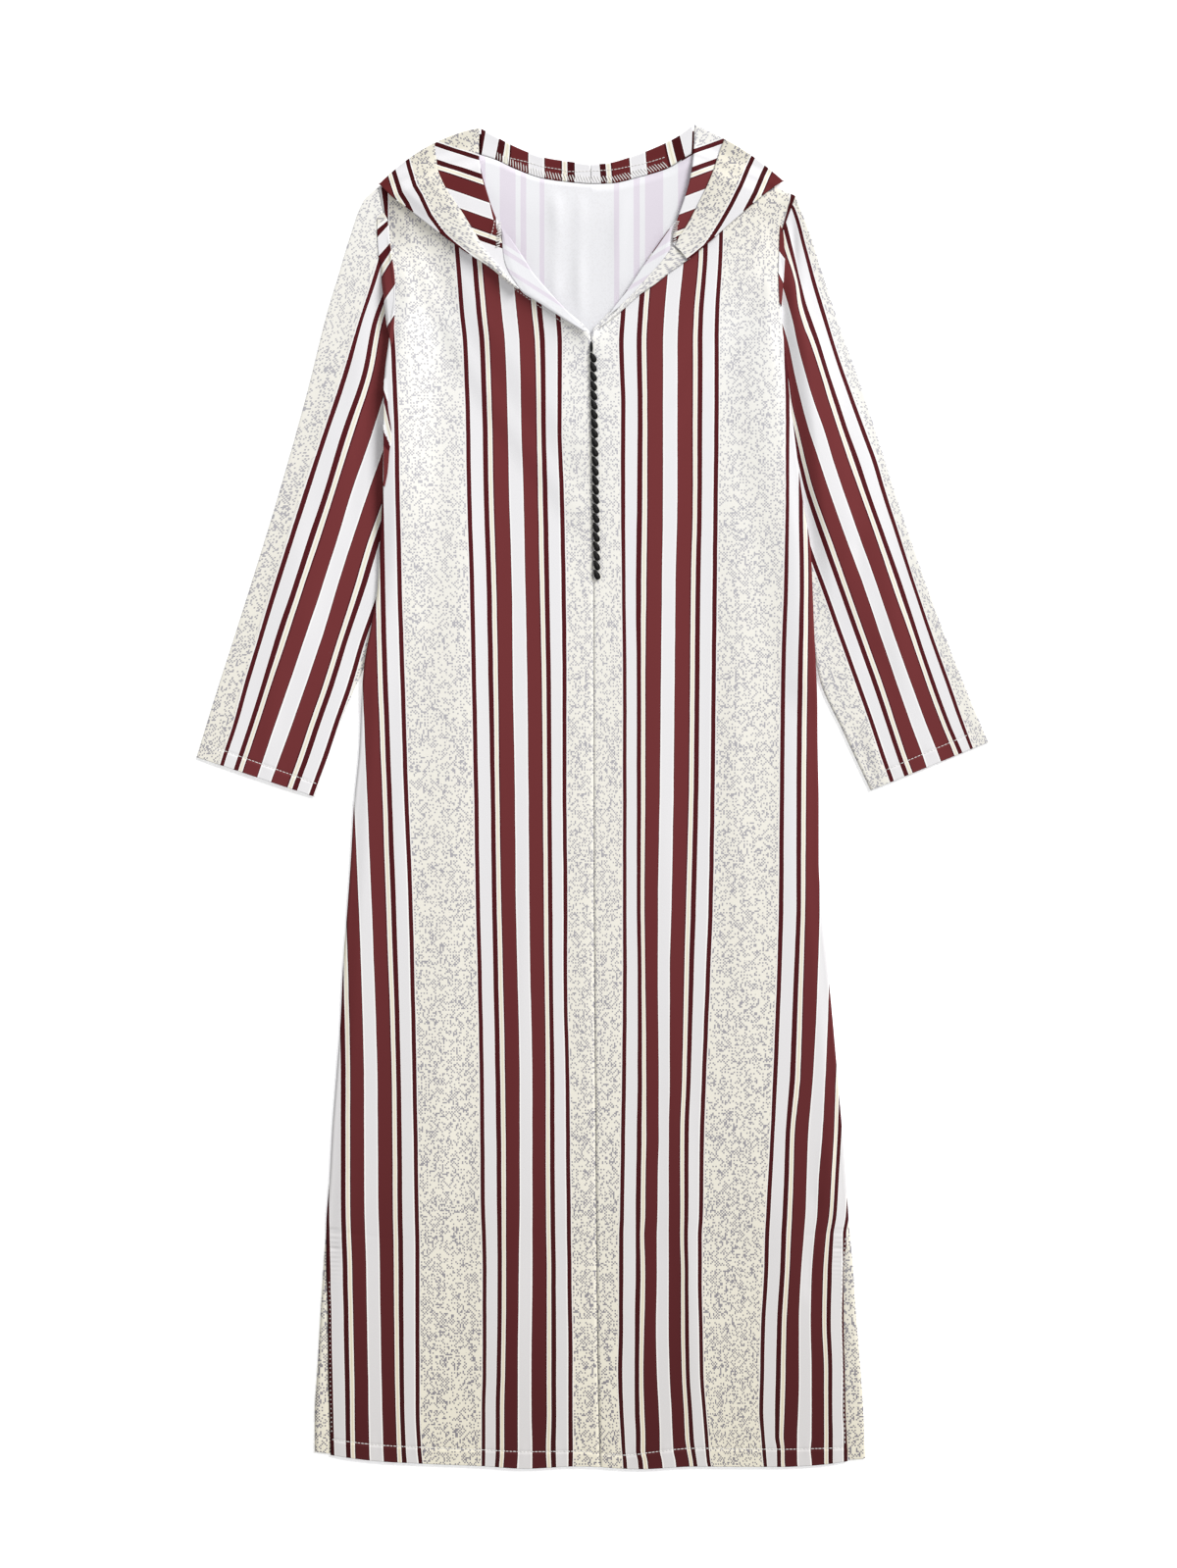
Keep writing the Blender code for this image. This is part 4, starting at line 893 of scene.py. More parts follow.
def striped_material(name, layer, wrong=False):
    """The striped cloth, its pattern placed by a UV layer in millimetres of cloth."""
    make = Nodes(name, roughness=0.7, sheen=0.0, specular=0.12)
    place = make.add("ShaderNodeUVMap", uv_map=layer).outputs[0]
    across, down, _ = make.add("ShaderNodeSeparateXYZ", {0: place}).outputs
    wander, fray = make.noise(place, WANDER_SCALE, 2.0), make.noise(place, FRAY_SCALE, 1.0)
    shifted = make.varied(fray, FRAY, make.varied(wander, WANDER, across))
    repeat = make.math("FRACT", make.math("DIVIDE", shifted, REPEAT))
    # how far down the robe: it sets the painted shade lower down and the creamier ground in the middle
    down_share = make.passed(down, TONE_TOP, TONE_BOTTOM - TONE_TOP)
    if wrong:
        colour = make.ramp(repeat, pattern_stops(WRONG_DYES, lines=False), "CONSTANT")
    else:
        colour = bands_with_painted_shade(make, repeat, down_share)
    speck = specks(make, place)
    ground = make.math("GREATER_THAN", repeat, (BANDS[-1].start + SPECKS_START) / REPEAT)
    ground = make.times(ground, make.math("LESS_THAN", repeat, 1 - SPECKS_END / REPEAT))
    speck = make.times(speck, ground)
    if wrong:
        colour = make.mix(make.times(speck, WRONG_SPECKS), colour, WRONG_SPECK)
    else:
        colour = speckled_and_shaded(make, colour, speck, ground, down_share, down)
    woven(make, place, across, down, colour)
    return make.material


def thread_material(name, tone, groove_shade=0.55, sheen=0.1, specular=0.3):
    """Twisted thread, with painted shade in its grooves, which take this share of its tone."""
    make = Nodes(name, roughness=0.5, sheen=sheen, specular=specular)
    place = make.add("ShaderNodeTexCoord").outputs["Object"]
    inputs = {"Vector": place, "Scale": TWIST_SCALE, "Distortion": 1.5}
    wave = make.add("ShaderNodeTexWave", inputs, wave_type="BANDS", bands_direction="DIAGONAL").outputs[1]
    fuzz = make.noise(place, FUZZ_SCALE, 3.0)
    dark = tuple(c * groove_shade for c in tone)
    make.link(make.mix(make.times(wave, 0.6), tone, dark), "Base Color")
    make.link(make.math("MULTIPLY_ADD", fuzz, 0.3, 0.35), "Roughness")
    make.bump(wave, 0.5)
    return make.material


def floor_material():
    make = Nodes("floor_paint", roughness=0.9, specular=0.05)
    noise = make.noise(make.add("ShaderNodeTexCoord").outputs["Object"], 3.0, 4.0)
    make.link(make.mix(make.times(noise, 0.02), FLOOR, FLOOR_LOW), "Base Color")
    make.shader.inputs["Emission Color"].default_value = (1, 1, 1, 1)
    make.shader.inputs["Emission Strength"].default_value = FLOOR_GLOW
    return make.material


# --- the body ----------------------------------------------------------------------------
Grid = namedtuple("Grid", "columns rows")
FRONT_GRID, FRONT_SLIT_ROWS = Grid(84, 440), 70
BACK_GRID, BACK_SLIT_ROWS = Grid(70, 310), 30  # half the back
SLIT_BEFORE, SLIT_AFTER = 6, 80  # the stretch round the top of the slit where the rows are closer
LOW_ROWS = 10  # one in this many of the other rows lies below that stretch
TURN_UP_RAMP = 40
BACK_TURN_START = 4  # how far above the slit its turned edges start
BACK_TURN_CLOTH = (320, 850)  # where across the board the left and right turned edges' pattern starts
BACK_RELIEF = 0.35  # how much of the hem's relief shows on the back
THICKER_ACROSS, THICKER_FROM, THICKER_RAMP = 1.5, 8, 20  # where its turned edges stand up


def hem_shift(across, down):
    """How far the rows near the hem move down, so that the last one lies on it."""
    last = BODY_ROWS[-1].down
    return (down_at(HEM, across) - last) * smoothstep((down - last + HEM_BLEND) / HEM_BLEND)


def row_ends(side, back=False):
    """For every table row, its side end and its middle end: across, down, across and down again."""
    centre = float(across_at(CENTRE_SEAM, V_TIP))
    rows = []
    for cut in NECK_ROWS:
        inner = (centre, cut.back_down) if back else (getattr(cut, "neck_" + side), cut.neck_down)
        rows.append((getattr(cut, side), getattr(cut, side + "_down"), *inner))
    for cut in BODY_ROWS:
        outer = getattr(cut, "back_" + side if back else side)
        gap = 0.0 if back else float(smooth_curve(cut.down, SEAM_DOWN, SEAM_OPEN))
        inner = float(across_at(CENTRE_SEAM, cut.down)) + SIDES[side] * gap / 2
        rows.append((outer, cut.down, inner, cut.down))
    return list(zip(*rows))


def row_steps(side, count, slit_rows):
    """Row numbers down the side: even, and closer over the top of the slit and over the hem."""
    outer_down = row_ends(side)[1]
    ends = (outer_down[0], SLIT_TOP - SLIT_BEFORE, SLIT_TOP + SLIT_AFTER, outer_down[-1] - HEM_DEEP)
    below = (count - slit_rows - HEM_ROWS) // LOW_ROWS
    rows = (count - slit_rows - HEM_ROWS - below, slit_rows, below)
    parts = [np.linspace(*ends[i:i + 2], rows[i], endpoint=False) for i in range(3)]
    downs = np.concatenate([*parts, np.linspace(ends[-1], outer_down[-1], HEM_ROWS)])
    return smooth_curve(downs, outer_down, range(len(outer_down)))


def top_bend(side, share):
    """How far the back's upper edge, along the shoulder and neck seams, is off a straight line."""
    first = NECK_ROWS[0]
    start, start_down = getattr(first, side), getattr(first, side + "_down")
    neck, centre = getattr(first, "neck_" + side), float(across_at(CENTRE_SEAM, V_TIP))
    shoulder = share / SHOULDER_SHARE
    past = (share - SHOULDER_SHARE) / (1 - SHOULDER_SHARE)
    across = np.where(shoulder <= 1, start + (neck - start) * shoulder, neck + (centre - neck) * past)
    on_shoulder = start_down + (first.neck_down - start_down) * shoulder
    down = np.where(shoulder <= 1, on_shoulder, down_at(NECK_SEAM, across))
    straight = start + (centre - start) * share, start_down + (first.back_down - start_down) * share
    return across - straight[0], down - straight[1]


def half_points(side, share, row, back=False):
    """Points of half the front or the back, on the board. share runs from the side to the centre."""
    numbers = range(len(NECK_ROWS) + len(BODY_ROWS))
    ends = [smooth_curve(row, numbers, column) for column in row_ends(side, back)]
    across = ends[0] + (ends[2] - ends[0]) * share
    down = ends[1] + (ends[3] - ends[1]) * share
    if not back:
        return across, down + hem_shift(across, down)
    fade = np.maximum(1 - row / (len(NECK_ROWS) - 2), 0.0) ** 1.5
    bend = top_bend(side, share)
    across, down = across + bend[0] * fade, down + bend[1] * fade
    past_slit = smoothstep((down - SLIT_TOP) / TURN_UP_RAMP)
    turned_up = BACK_HEM_UP * past_slit * np.minimum(share / EDGE_SHARE, 1.0)
    return across, down + hem_shift(across, down) - turned_up


def front_top(across, down):
    relief = hem_relief(across, down) + slit_relief(across, down)
    return under_back(across, down) + 2 * CLOTH + front_gap(across, down) + relief


def make_fronts(cloth, wrong):
    for side in SIDES:
        rows = row_steps(side, FRONT_GRID.rows, FRONT_SLIT_ROWS)
        across, down = half_points(side, *np.meshgrid(np.linspace(0, 1, FRONT_GRID.columns), rows))
        pattern = cloth_across(FRONT_LINES[side], across, down)
        height = front_top(across, down)
        sheet_piece("front_cloth_" + side, across, down, height, {"cloth": (pattern, down)}, [cloth, wrong])


def make_back(cloth, wrong):
    """The back panel, inside up, with the right side of its turned slit edges showing beyond the fronts."""
    parts = []
    for side in SIDES:
        rows = row_steps(side, BACK_GRID.rows, BACK_SLIT_ROWS)
        grid = np.meshgrid(np.linspace(0, 1, BACK_GRID.columns), rows)
        parts.append(half_points(side, *grid, back=True))
    across, down = (np.hstack([left, right[:, -2::-1]]) for left, right in zip(*parts))
    pattern = cloth_across(BACK_LINES, across, down)
    left, right = body_edges(down)
    at_edge = (across < left + SLIT_TURN) | (across > right - SLIT_TURN)
    turned = (down > SLIT_TOP - BACK_TURN_START) & at_edge
    start = np.where(across < BOARD_MIDDLE[0], *BACK_TURN_CLOTH)
    pattern = np.where(turned, SPECKLE_CLOTH + across - start, pattern)
    beyond = np.maximum(left - across, across - right)
    below_top = smoothstep((down - SLIT_TOP - THICKER_FROM) / THICKER_RAMP)
    thicker = SLIT_THICKER * smoothstep(beyond / THICKER_ACROSS) * below_top
    height = under_back(across, down) + CLOTH + ridges(INSIDE_FOLDS, across, down)
    height = height + np.where(turned, BACK_RELIEF * hem_relief(across, down) + thicker, 0.0)
    uvs = {"cloth": (pattern, down)}
    made = sheet_piece("back_cloth", across, down, height, uvs, [wrong, cloth], wall=CLOTH)
    corners = grid_faces(*across.shape)
    shows = turned.ravel()[corners].all(axis=1)
    made.data.polygons.foreach_set("material_index", shows.astype(np.int32))


# --- sleeves -------------------------------------------------------------------------------
RADIUS = CLOTH + FOLD_GAP / 2  # of the outer face round a folded edge
FOLD_TURNS = 8  # the columns round a fold
SLEEVE_GRID, CUFF_ROWS = Grid(44, 180), 36
CUFF_START = 0.95  # where the closer rows of the cuff start, as a share of the sleeve's length
# The points that tell a sleeve's height near the armhole: how many, over what share of it, and how soft.
NEAR_GRID, NEAR_LENGTH, NEAR_SOFT = Grid(60, 160), 0.5, 0.2
SLEEVE_FOLD_CLOTH = 35.0  # how much cloth of the pattern is between its start and the sleeve's folded edge
# The lower layer's rise to the armpit: how far, from what share across, and up to what share along.
ARMPIT_RISE, ARMPIT_SHARE, ARMPIT_RAMP, ARMPIT_LENGTH, ARMPIT_FADE = 0.8, 0.8, 0.15, 0.2, 0.12


def sleeve_points(side, share, length):
    """Points of the sleeve, on the board. share runs across it and length from the armhole to the cuff."""
    cut = SLEEVES[side]
    outer, inner = along(cut.outer, length), along(cut.inner, length)
    hole = along(cut.armhole, share)
    moved = []
    for axis in (0, 1):
        start, end = cut.armhole[0][axis], cut.armhole[-1][axis]
        straight = outer[axis] + (inner[axis] - outer[axis]) * share
        moved.append(straight + (hole[axis] - start - (end - start) * share) * (1 - length) ** 3)
    return moved


def sleeve_gap(side, share, length, across, down):
    """How far apart the sleeve's two layers lie."""
    shown = smoothstep((length - SLEEVE_SHOWS) / SLEEVE_SHOWS_RAMP)  # past the armpit all of it is in view
    spread = np.minimum(share / (SLEEVE_HIDDEN + (1 - SLEEVE_HIDDEN) * shown), 1.0)
    crown = np.sin(np.pi * spread ** CROWN_BIAS) * smoothstep(length / CROWN_START)
    crown = crown * (CROWN_LOW + (1 - CROWN_LOW) * (1 - length) ** CROWN_FADE)
    beyond = (length - CUFF_STITCH) * CUFF_SCALE
    waves = np.sin(share * 2 * np.pi * CUFF_PUCKERS + 2 * np.sin(share * 9))
    cuff = stitched(beyond, waves * bump_at(beyond, 0, CUFF_PUCKER_WIDTH), CUFF_RELIEF)
    relief = (ridges(SLEEVE_FOLDS[side], across, down) + cuff) * within(spread, SLEEVE_EDGES)
    height = FOLD_GAP + SLEEVE_PUFF[side] * crown + relief
    if side == "left":
        return height
    downs, widths, heights = zip(*ROLL)
    outward = across - body_edges(down)[1]
    roll = smooth_curve(down, downs, heights) * smoothstep(outward / smooth_curve(down, downs, widths))
    return height + roll * within(length, ROLL_LENGTHS) * smoothstep(spread / ROLL_RAMP)


def sleeve_top(side, share, length):
    """Points on the sleeve's upper face."""
    across, down = sleeve_points(side, share, length)
    return across, down, 2 * CLOTH + sleeve_gap(side, share, length, across, down)


def sleeve_height(side, across, down):
    """Height of the sleeve's upper face at points on the board, near its upper end."""
    share, length = shares(*NEAR_GRID)
    known = [values.ravel() for values in sleeve_top(side, share, length * NEAR_LENGTH)]
    nearness = ((across[..., None] - known[0]) ** 2 + (down[..., None] - known[1]) ** 2 + NEAR_SOFT) ** -4
    return (nearness * known[2]).sum(-1) / nearness.sum(-1)


def hairpin(steps, turns):
    """Columns of a sheet that bends over itself: the share across and the turn round the fold of each."""
    share = np.concatenate([np.linspace(1, 0, steps), np.zeros(turns - 1), np.linspace(0, 1, steps)])
    turn = np.concatenate([np.zeros(steps), np.pi * np.arange(1, turns) / turns, np.full(steps, np.pi)])
    return share, turn


def make_sleeves(cloth, wrong):
    columns, turn = hairpin(SLEEVE_GRID.columns, FOLD_TURNS)
    above_cuff = np.linspace(0, CUFF_START, SLEEVE_GRID.rows, endpoint=False)
    lengths = np.concatenate([above_cuff, np.linspace(CUFF_START, 1, CUFF_ROWS)])
    share, length = np.meshgrid(columns, lengths)
    turn = np.broadcast_to(turn, share.shape)
    upper = turn > np.pi / 2
    rise = ARMPIT_RISE * smoothstep((share - ARMPIT_SHARE) / ARMPIT_RAMP)
    rise = rise * smoothstep((ARMPIT_LENGTH - length) / ARMPIT_FADE)
    for side, sign in SIDES.items():
        across, down = sleeve_points(side, share, length)
        gap = sleeve_gap(side, share, length, across, down)
        below = ridges(BACK_FOLDS_OF_SLEEVE[side], across, down)
        height = RADIUS * (1 - np.cos(turn)) + np.where(upper, gap - FOLD_GAP, rise) + below
        pattern = cloth_across(SLEEVE_LINES[side], across, down)
        over = np.where(upper, pattern, -pattern - 2 * SLEEVE_FOLD_CLOTH)
        # below 0 the pattern is in its speckled stretch
        # there the left sleeve takes the colours of places lower on the board: painted shade where its edge
        # curves away from the light
        shade_down = down + SLEEVE_SHADE[side] * smoothstep(-pattern)
        across = across + sign * RADIUS * (np.sin(turn) - (1 - share))
        sheet_piece("sleeve_cloth_" + side, across, down, height, {"cloth": (over, shade_down)}, [cloth, wrong])


# --- hood ------------------------------------------------------------------------------------
FALL_GRID, STAND_GRID, STRIP_GRID, TUCK_GRID = Grid(40, 150), Grid(60, 16), Grid(14, 90), Grid(12, 80)
HOOD_WALL = 0.8
FALL_PUFF = Span(0.0, 0.3, 1.05, 0.3)  # where the hood's layers stand apart, from the fold to the opening
# How much further along its pattern each stand's lower edge is: at least, and how much more past a place.
STAND_SHIFT = 4.2
StandEnd = namedtuple("StandEnd", "least more start ramp")
STAND_ENDS = {"left": StandEnd(0.0, 1.0, 530, -25), "right": StandEnd(-0.4, -1.0, 655, 35)}
BAG_COLUMNS, BAG_STEPS = 90, 40
# The rim of the hood's hidden layers: how far inward, and the share of their height.
BAG_RIM = ((0.0, 0.0), (-0.35, 0.22), (0.0, 0.45), (BAG_GROOVE, 0.5), (0.0, 0.55), (0.5, 0.9))
BAG_PATTERN = 470.0  # the place across the board where the hidden layers' pattern starts
STRIP_RAMP, STRIP_CLOTH = 0.3, 12.0  # the share of a strip that sinks, and the cloth across it


def fall_points(side, share, length):
    """Points of half the hood, on the board. share runs from the neck to the fold."""
    cut = between(FALLS[side], length)
    arch = 4 * share * (1 - share) * TOP_BULGE[side] * (1 - length) ** 3
    across = cut.inner + (cut.fold - cut.inner) * share
    return across, cut.inner_down + (cut.fold_down - cut.inner_down) * share - arch


def opening_share(side, length):
    """How far the hood's opening is from the neck, as a share of the way to the fold."""
    cut = between(FALLS[side], length)
    run = (cut.fold - cut.inner, cut.fold_down - cut.inner_down)
    reach = (cut.opening - cut.inner) * run[0] + (cut.opening_down - cut.inner_down) * run[1]
    return reach / (run[0] ** 2 + run[1] ** 2)


def make_falls(cloth, lining):
    columns, turn = hairpin(FALL_GRID.columns, FOLD_TURNS)
    columns = np.where(turn == 0, 1 - columns, columns)  # from the neck out to the fold, then back
    columns = np.where((turn > 0) & (turn < np.pi), 1.0, columns)
    share, length = np.meshgrid(columns, np.linspace(0, 1, FALL_GRID.rows))
    turn = np.broadcast_to(turn, share.shape)
    back = np.where(turn == np.pi, share, 0.0)
    puff = (FALL_GAP - FOLD_GAP) * within(back, FALL_PUFF)
    for side, sign in SIDES.items():
        reach = np.where(turn == np.pi, 1 + (opening_share(side, length) - 1) * back, share)
        across, down = fall_points(side, reach, length)
        height = over_body(across, down) + OVER + RADIUS * (1 - np.cos(turn))
        height = height + np.where(turn > np.pi / 2, puff, 0.0)
        outside = np.where(sign * (across - across_at(FALL_LINE[side], down)) > 0, 1.0, -1.0)
        pattern = outside * distance_to(FALL_LINE[side], across, down) * FALL_SCALE[side]
        slant = LINING[side]
        inside = np.minimum(across * slant.across + down * slant.down + slant.start, LINING_END)
        across = across + sign * RADIUS * (np.sin(turn) - np.where(turn == 0, share, 1 - back) ** 3)
        uvs = {"cloth": (pattern, down), "lining": (inside, across - slant.shift)}
        sheet_piece("hood_cloth_" + side, across, down, height, uvs, [cloth, lining], wall=HOOD_WALL, rim=1)


def make_stands(cloth, wrong):
    share, rise = shares(*STAND_GRID)
    for side in SIDES:
        cut = between(STANDS[side], share)
        across = cut.seam + (cut.top - cut.seam) * rise
        down = cut.seam_down + (cut.top_down - cut.seam_down) * rise
        end = STAND_ENDS[side]
        shift = STAND_SHIFT * (end.least + end.more * smoothstep((across - end.start) / end.ramp))
        pattern = np.interp(across + (1 - rise) * shift, *zip(*STAND_CLOTH[side]))
        height, uvs = stand_top(across, down), {"cloth": (pattern, down)}
        sheet_piece("hood_stand_" + side, across, down, height, uvs, [cloth, wrong], wall=HOOD_WALL)


def make_bag(cloth):
    """The hood's hidden layers, in one closed form with a groove round the rim."""
    columns = list(zip(*BAG))
    across = np.linspace(BAG[0].across, BAG[-1].across, BAG_COLUMNS)
    top, bottom = (smooth_curve(across, columns[0], column) for column in columns[1:3])
    steps = np.linspace(0, 1, BAG_STEPS + 2)[1:-1]
    # round the form: up the near rim, over the top face, down the far rim and back under
    loop = [(bottom - inward, rise * bag_top(across, bottom)) for inward, rise in BAG_RIM]
    loop += [(down, bag_top(across, down)) for down in (bottom + (top - bottom) * step for step in steps)]
    loop += [(top + inward, rise * bag_top(across, top)) for inward, rise in BAG_RIM[::-1]]
    loop += [(top + (bottom - top) * step, np.zeros(BAG_COLUMNS)) for step in steps]
    downs, heights = (np.concatenate(rings) for rings in zip(*loop))
    points = np.column_stack([np.tile(across, len(loop)), downs, heights])
    index = np.arange(len(points)).reshape(len(loop), BAG_COLUMNS)
    after = np.roll(index, -1, axis=0)
    faces = np.stack([index[:, :-1], after[:, :-1], after[:, 1:], index[:, 1:]], -1).reshape(-1, 4).tolist()
    faces += [index[::-1, 0].tolist(), index[:, -1].tolist()]
    uvs = {"cloth": (points[:, 0] - BAG_PATTERN, points[:, 1])}
    new_piece("hood_bag_cloth", points, faces, [cloth], uvs)


def make_strips(cloth, wrong):
    share, length = shares(*STRIP_GRID)
    for name, rows in STRIPS.items():
        cut = between(rows, length)
        across = cut.outer + (cut.inner - cut.outer) * share
        down = cut.outer_down + (cut.inner_down - cut.outer_down) * share
        height = strip_top(across, down) + STRIP_LIFT - STRIP_SINK * smoothstep(1 - share / STRIP_RAMP)
        if name in NECK_SLANTS:
            slant = NECK_SLANTS[name]
            pattern = slant.cloth + (across - slant.across) * slant.each_across
            pattern = pattern + (down - slant.down) * slant.each_down
            materials = [wrong, cloth]
        else:
            pattern, materials = SPECKLE_CLOTH + share * STRIP_CLOTH, [cloth, wrong]
        uvs = {"cloth": (pattern, down)}
        sheet_piece(name + "_cloth", across, down, height, uvs, materials, wall=STRIP_WALL)


# --- braid -------------------------------------------------------------------------------------
BEADS = 24
BEAD_PITCH = 9.6
BRAID_TOP = 360.3
BEAD_SIZE = (7.3, 11.4, 3.4)
BEAD_RINGS, BEAD_SIDES = 15, 20
BEAD_OVER = 0.4  # how far over the front a knot starts
CORD_TURNS, RIB = 7, 0.035
BEAD_TILT = math.radians(27)
TIP_SIZE = (3.8, 11.4, 2.2)
TIP_MIDDLE = (603.0, 354.2)
BRAID_LINE = table(Place, (604.4, 365), (606.6, 480), (608.2, 586))


def bead_shape(across, down, base, size, tilt):
    """Points and faces of one wrapped knot, fat below and to the right, with the cord's turns as ribs."""
    polar, turn = np.meshgrid(
        np.linspace(0, np.pi, BEAD_RINGS), np.arange(BEAD_SIDES) * 2 * np.pi / BEAD_SIDES, indexing="ij")
    y = -np.cos(polar)
    rib = 1 + RIB * np.sin(CORD_TURNS * polar * 2 + turn)
    leaf = (0.8 + 0.24 * y) * (1 - 0.28 * np.maximum(-y, 0.0) ** 2)  # narrower towards the upper tip
    x = np.sin(polar) * np.cos(turn) * rib * leaf * size[0] / 2
    y = y * size[1] / 2
    z = np.sin(polar) * np.sin(turn) * rib * size[2] / 2
    turned = (x * math.cos(tilt) - y * math.sin(tilt), y * math.cos(tilt) + x * math.sin(tilt))
    points = np.stack([across + turned[0], down + turned[1], base + size[2] / 2 + z], -1)
    return points.reshape(-1, 3), ring_faces(BEAD_RINGS, BEAD_SIDES)


def make_braid(material):
    tip_base = float(over_body(*TIP_MIDDLE)) + BEAD_OVER
    shapes = [bead_shape(*TIP_MIDDLE, tip_base, TIP_SIZE, 0.0)]
    for i in range(BEADS):
        down = BRAID_TOP + BEAD_PITCH * (i + 0.5)
        across = float(across_at(BRAID_LINE, down))
        base = float(over_body(across, down)) + BEAD_OVER
        shapes.append(bead_shape(across, down, base, BEAD_SIZE, -BEAD_TILT))
    new_piece("braid_cord", *joined(shapes), [material])


# --- small turned folds and sewing -----------------------------------------------------------------
TUCK_ROLL = 0.3  # the share of a tuck's width over which its folded edge turns up
TUCK_LEAST_UPRIGHT = 0.35
TUCK_NEAR = 0.3  # how far beyond the body's edge a tuck still lies over the front


def make_tucks(cloth, wrong):
    """Folds of cloth a few millimetres wide, each rising from its folded edge to the seam beside it."""
    share, length = shares(*TUCK_GRID)
    for name, rows in TUCKS.items():
        cut = between(rows, length)
        across = cut.fold + (cut.seam - cut.fold) * share
        down = cut.fold_down + (cut.seam_down - cut.fold_down) * share
        side = name.rsplit("_", 1)[1]
        edge = body_edges(cut.seam_down)[0 if side == "left" else 1]
        rise = front_top(edge, cut.seam_down) - TUCK_UNDER - TUCK_START
        rolled = np.sqrt(np.clip(1 - (1 - np.minimum(share / TUCK_ROLL, 1.0)) ** 2, 0, 1))
        upright = TUCK_UPRIGHT.get(name, TUCK_LEAST_UPRIGHT)
        height = TUCK_START + rise * (upright * rolled + (1 - upright) * share)
        left, right = body_edges(down)
        over = (across > left - TUCK_NEAR) & (across < right + TUCK_NEAR)
        below = np.maximum(sleeve_height(side, across, down), np.where(over, front_top(across, down), 0.0))
        height = np.maximum(height, below + TUCK_OVER)
        uvs = {"cloth": (cut.cloth, down)}
        sheet_piece(name + "_cloth", across, down, height, uvs, [cloth, wrong])


Stitch = namedtuple("Stitch", "pitch length width lean")  # in millimetres, and degrees from the row's line
HEM_STITCH = Stitch(3.7, 3.2, 0.9, 0)
STITCH_RINGS, STITCH_SIDES = 5, 6
STITCH_BLUNT, STITCH_FLAT = 0.6, 0.4  # how blunt a stitch's ends are, and its half height over its width
STITCH_RAISED = 0.12
NECK_STITCH_UP = 4.8  # how far above the neck's seam its row of stitches lies
CUFF_ROW = (0.05, 0.97, 60)  # where across the sleeve the cuff's row starts and ends, and in how many steps


def along_line(points, pitch):
    """Places at an even pitch along a line of points, with the direction of the line at each."""
    steps = np.linalg.norm(np.diff(points[:, :2], axis=0), axis=1)
    lengths = np.concatenate([[0.0], np.cumsum(steps)])
    at = np.arange(pitch / 2, lengths[-1], pitch)

    def points_at(places):
        return np.column_stack([np.interp(places, lengths, column) for column in points.T])

    here, run = points_at(at), points_at(at + 0.5) - points_at(at - 0.5)
    return here, run / np.linalg.norm(run, axis=1)[:, None]


def stitch_shapes(points, stitch):
    """A row of short threads along a line of points: the points and faces of each."""
    polar = np.linspace(0, np.pi, STITCH_RINGS)[:, None]
    turn = np.arange(STITCH_SIDES) * 2 * np.pi / STITCH_SIDES
    round_it = np.sin(polar) ** STITCH_BLUNT * stitch.width
    x = -np.cos(polar) * np.ones(STITCH_SIDES) * stitch.length / 2
    v, z = (round_it * np.cos(turn) / 2).ravel(), (round_it * np.sin(turn) * STITCH_FLAT).ravel()
    cos, sin = math.cos(math.radians(stitch.lean)), math.sin(math.radians(stitch.lean))
    shapes = []
    for i, (place, run) in enumerate(zip(*along_line(points, stitch.pitch))):
        forward = (run[0] * cos - run[1] * sin, run[1] * cos + run[0] * sin)
        u = x.ravel() * (1 + 0.12 * math.sin(i * 2.3) + 0.08 * math.sin(i * 5.1))  # no two are quite alike
        across = place[0] + u * forward[0] - v * forward[1]
        down = place[1] + u * forward[1] + v * forward[0]
        height = place[2] + z + u * run[2]
        shapes.append((np.column_stack([across, down, height]), ring_faces(STITCH_RINGS, STITCH_SIDES)))
    return shapes


def on_top(places, height, raised):
    """Points along a line of places, raised over the surface that this height gives."""
    across, down = along([(p[0], p[1]) for p in places], np.linspace(0, 1, 160))
    return np.column_stack([across, down, height(across, down) + raised])


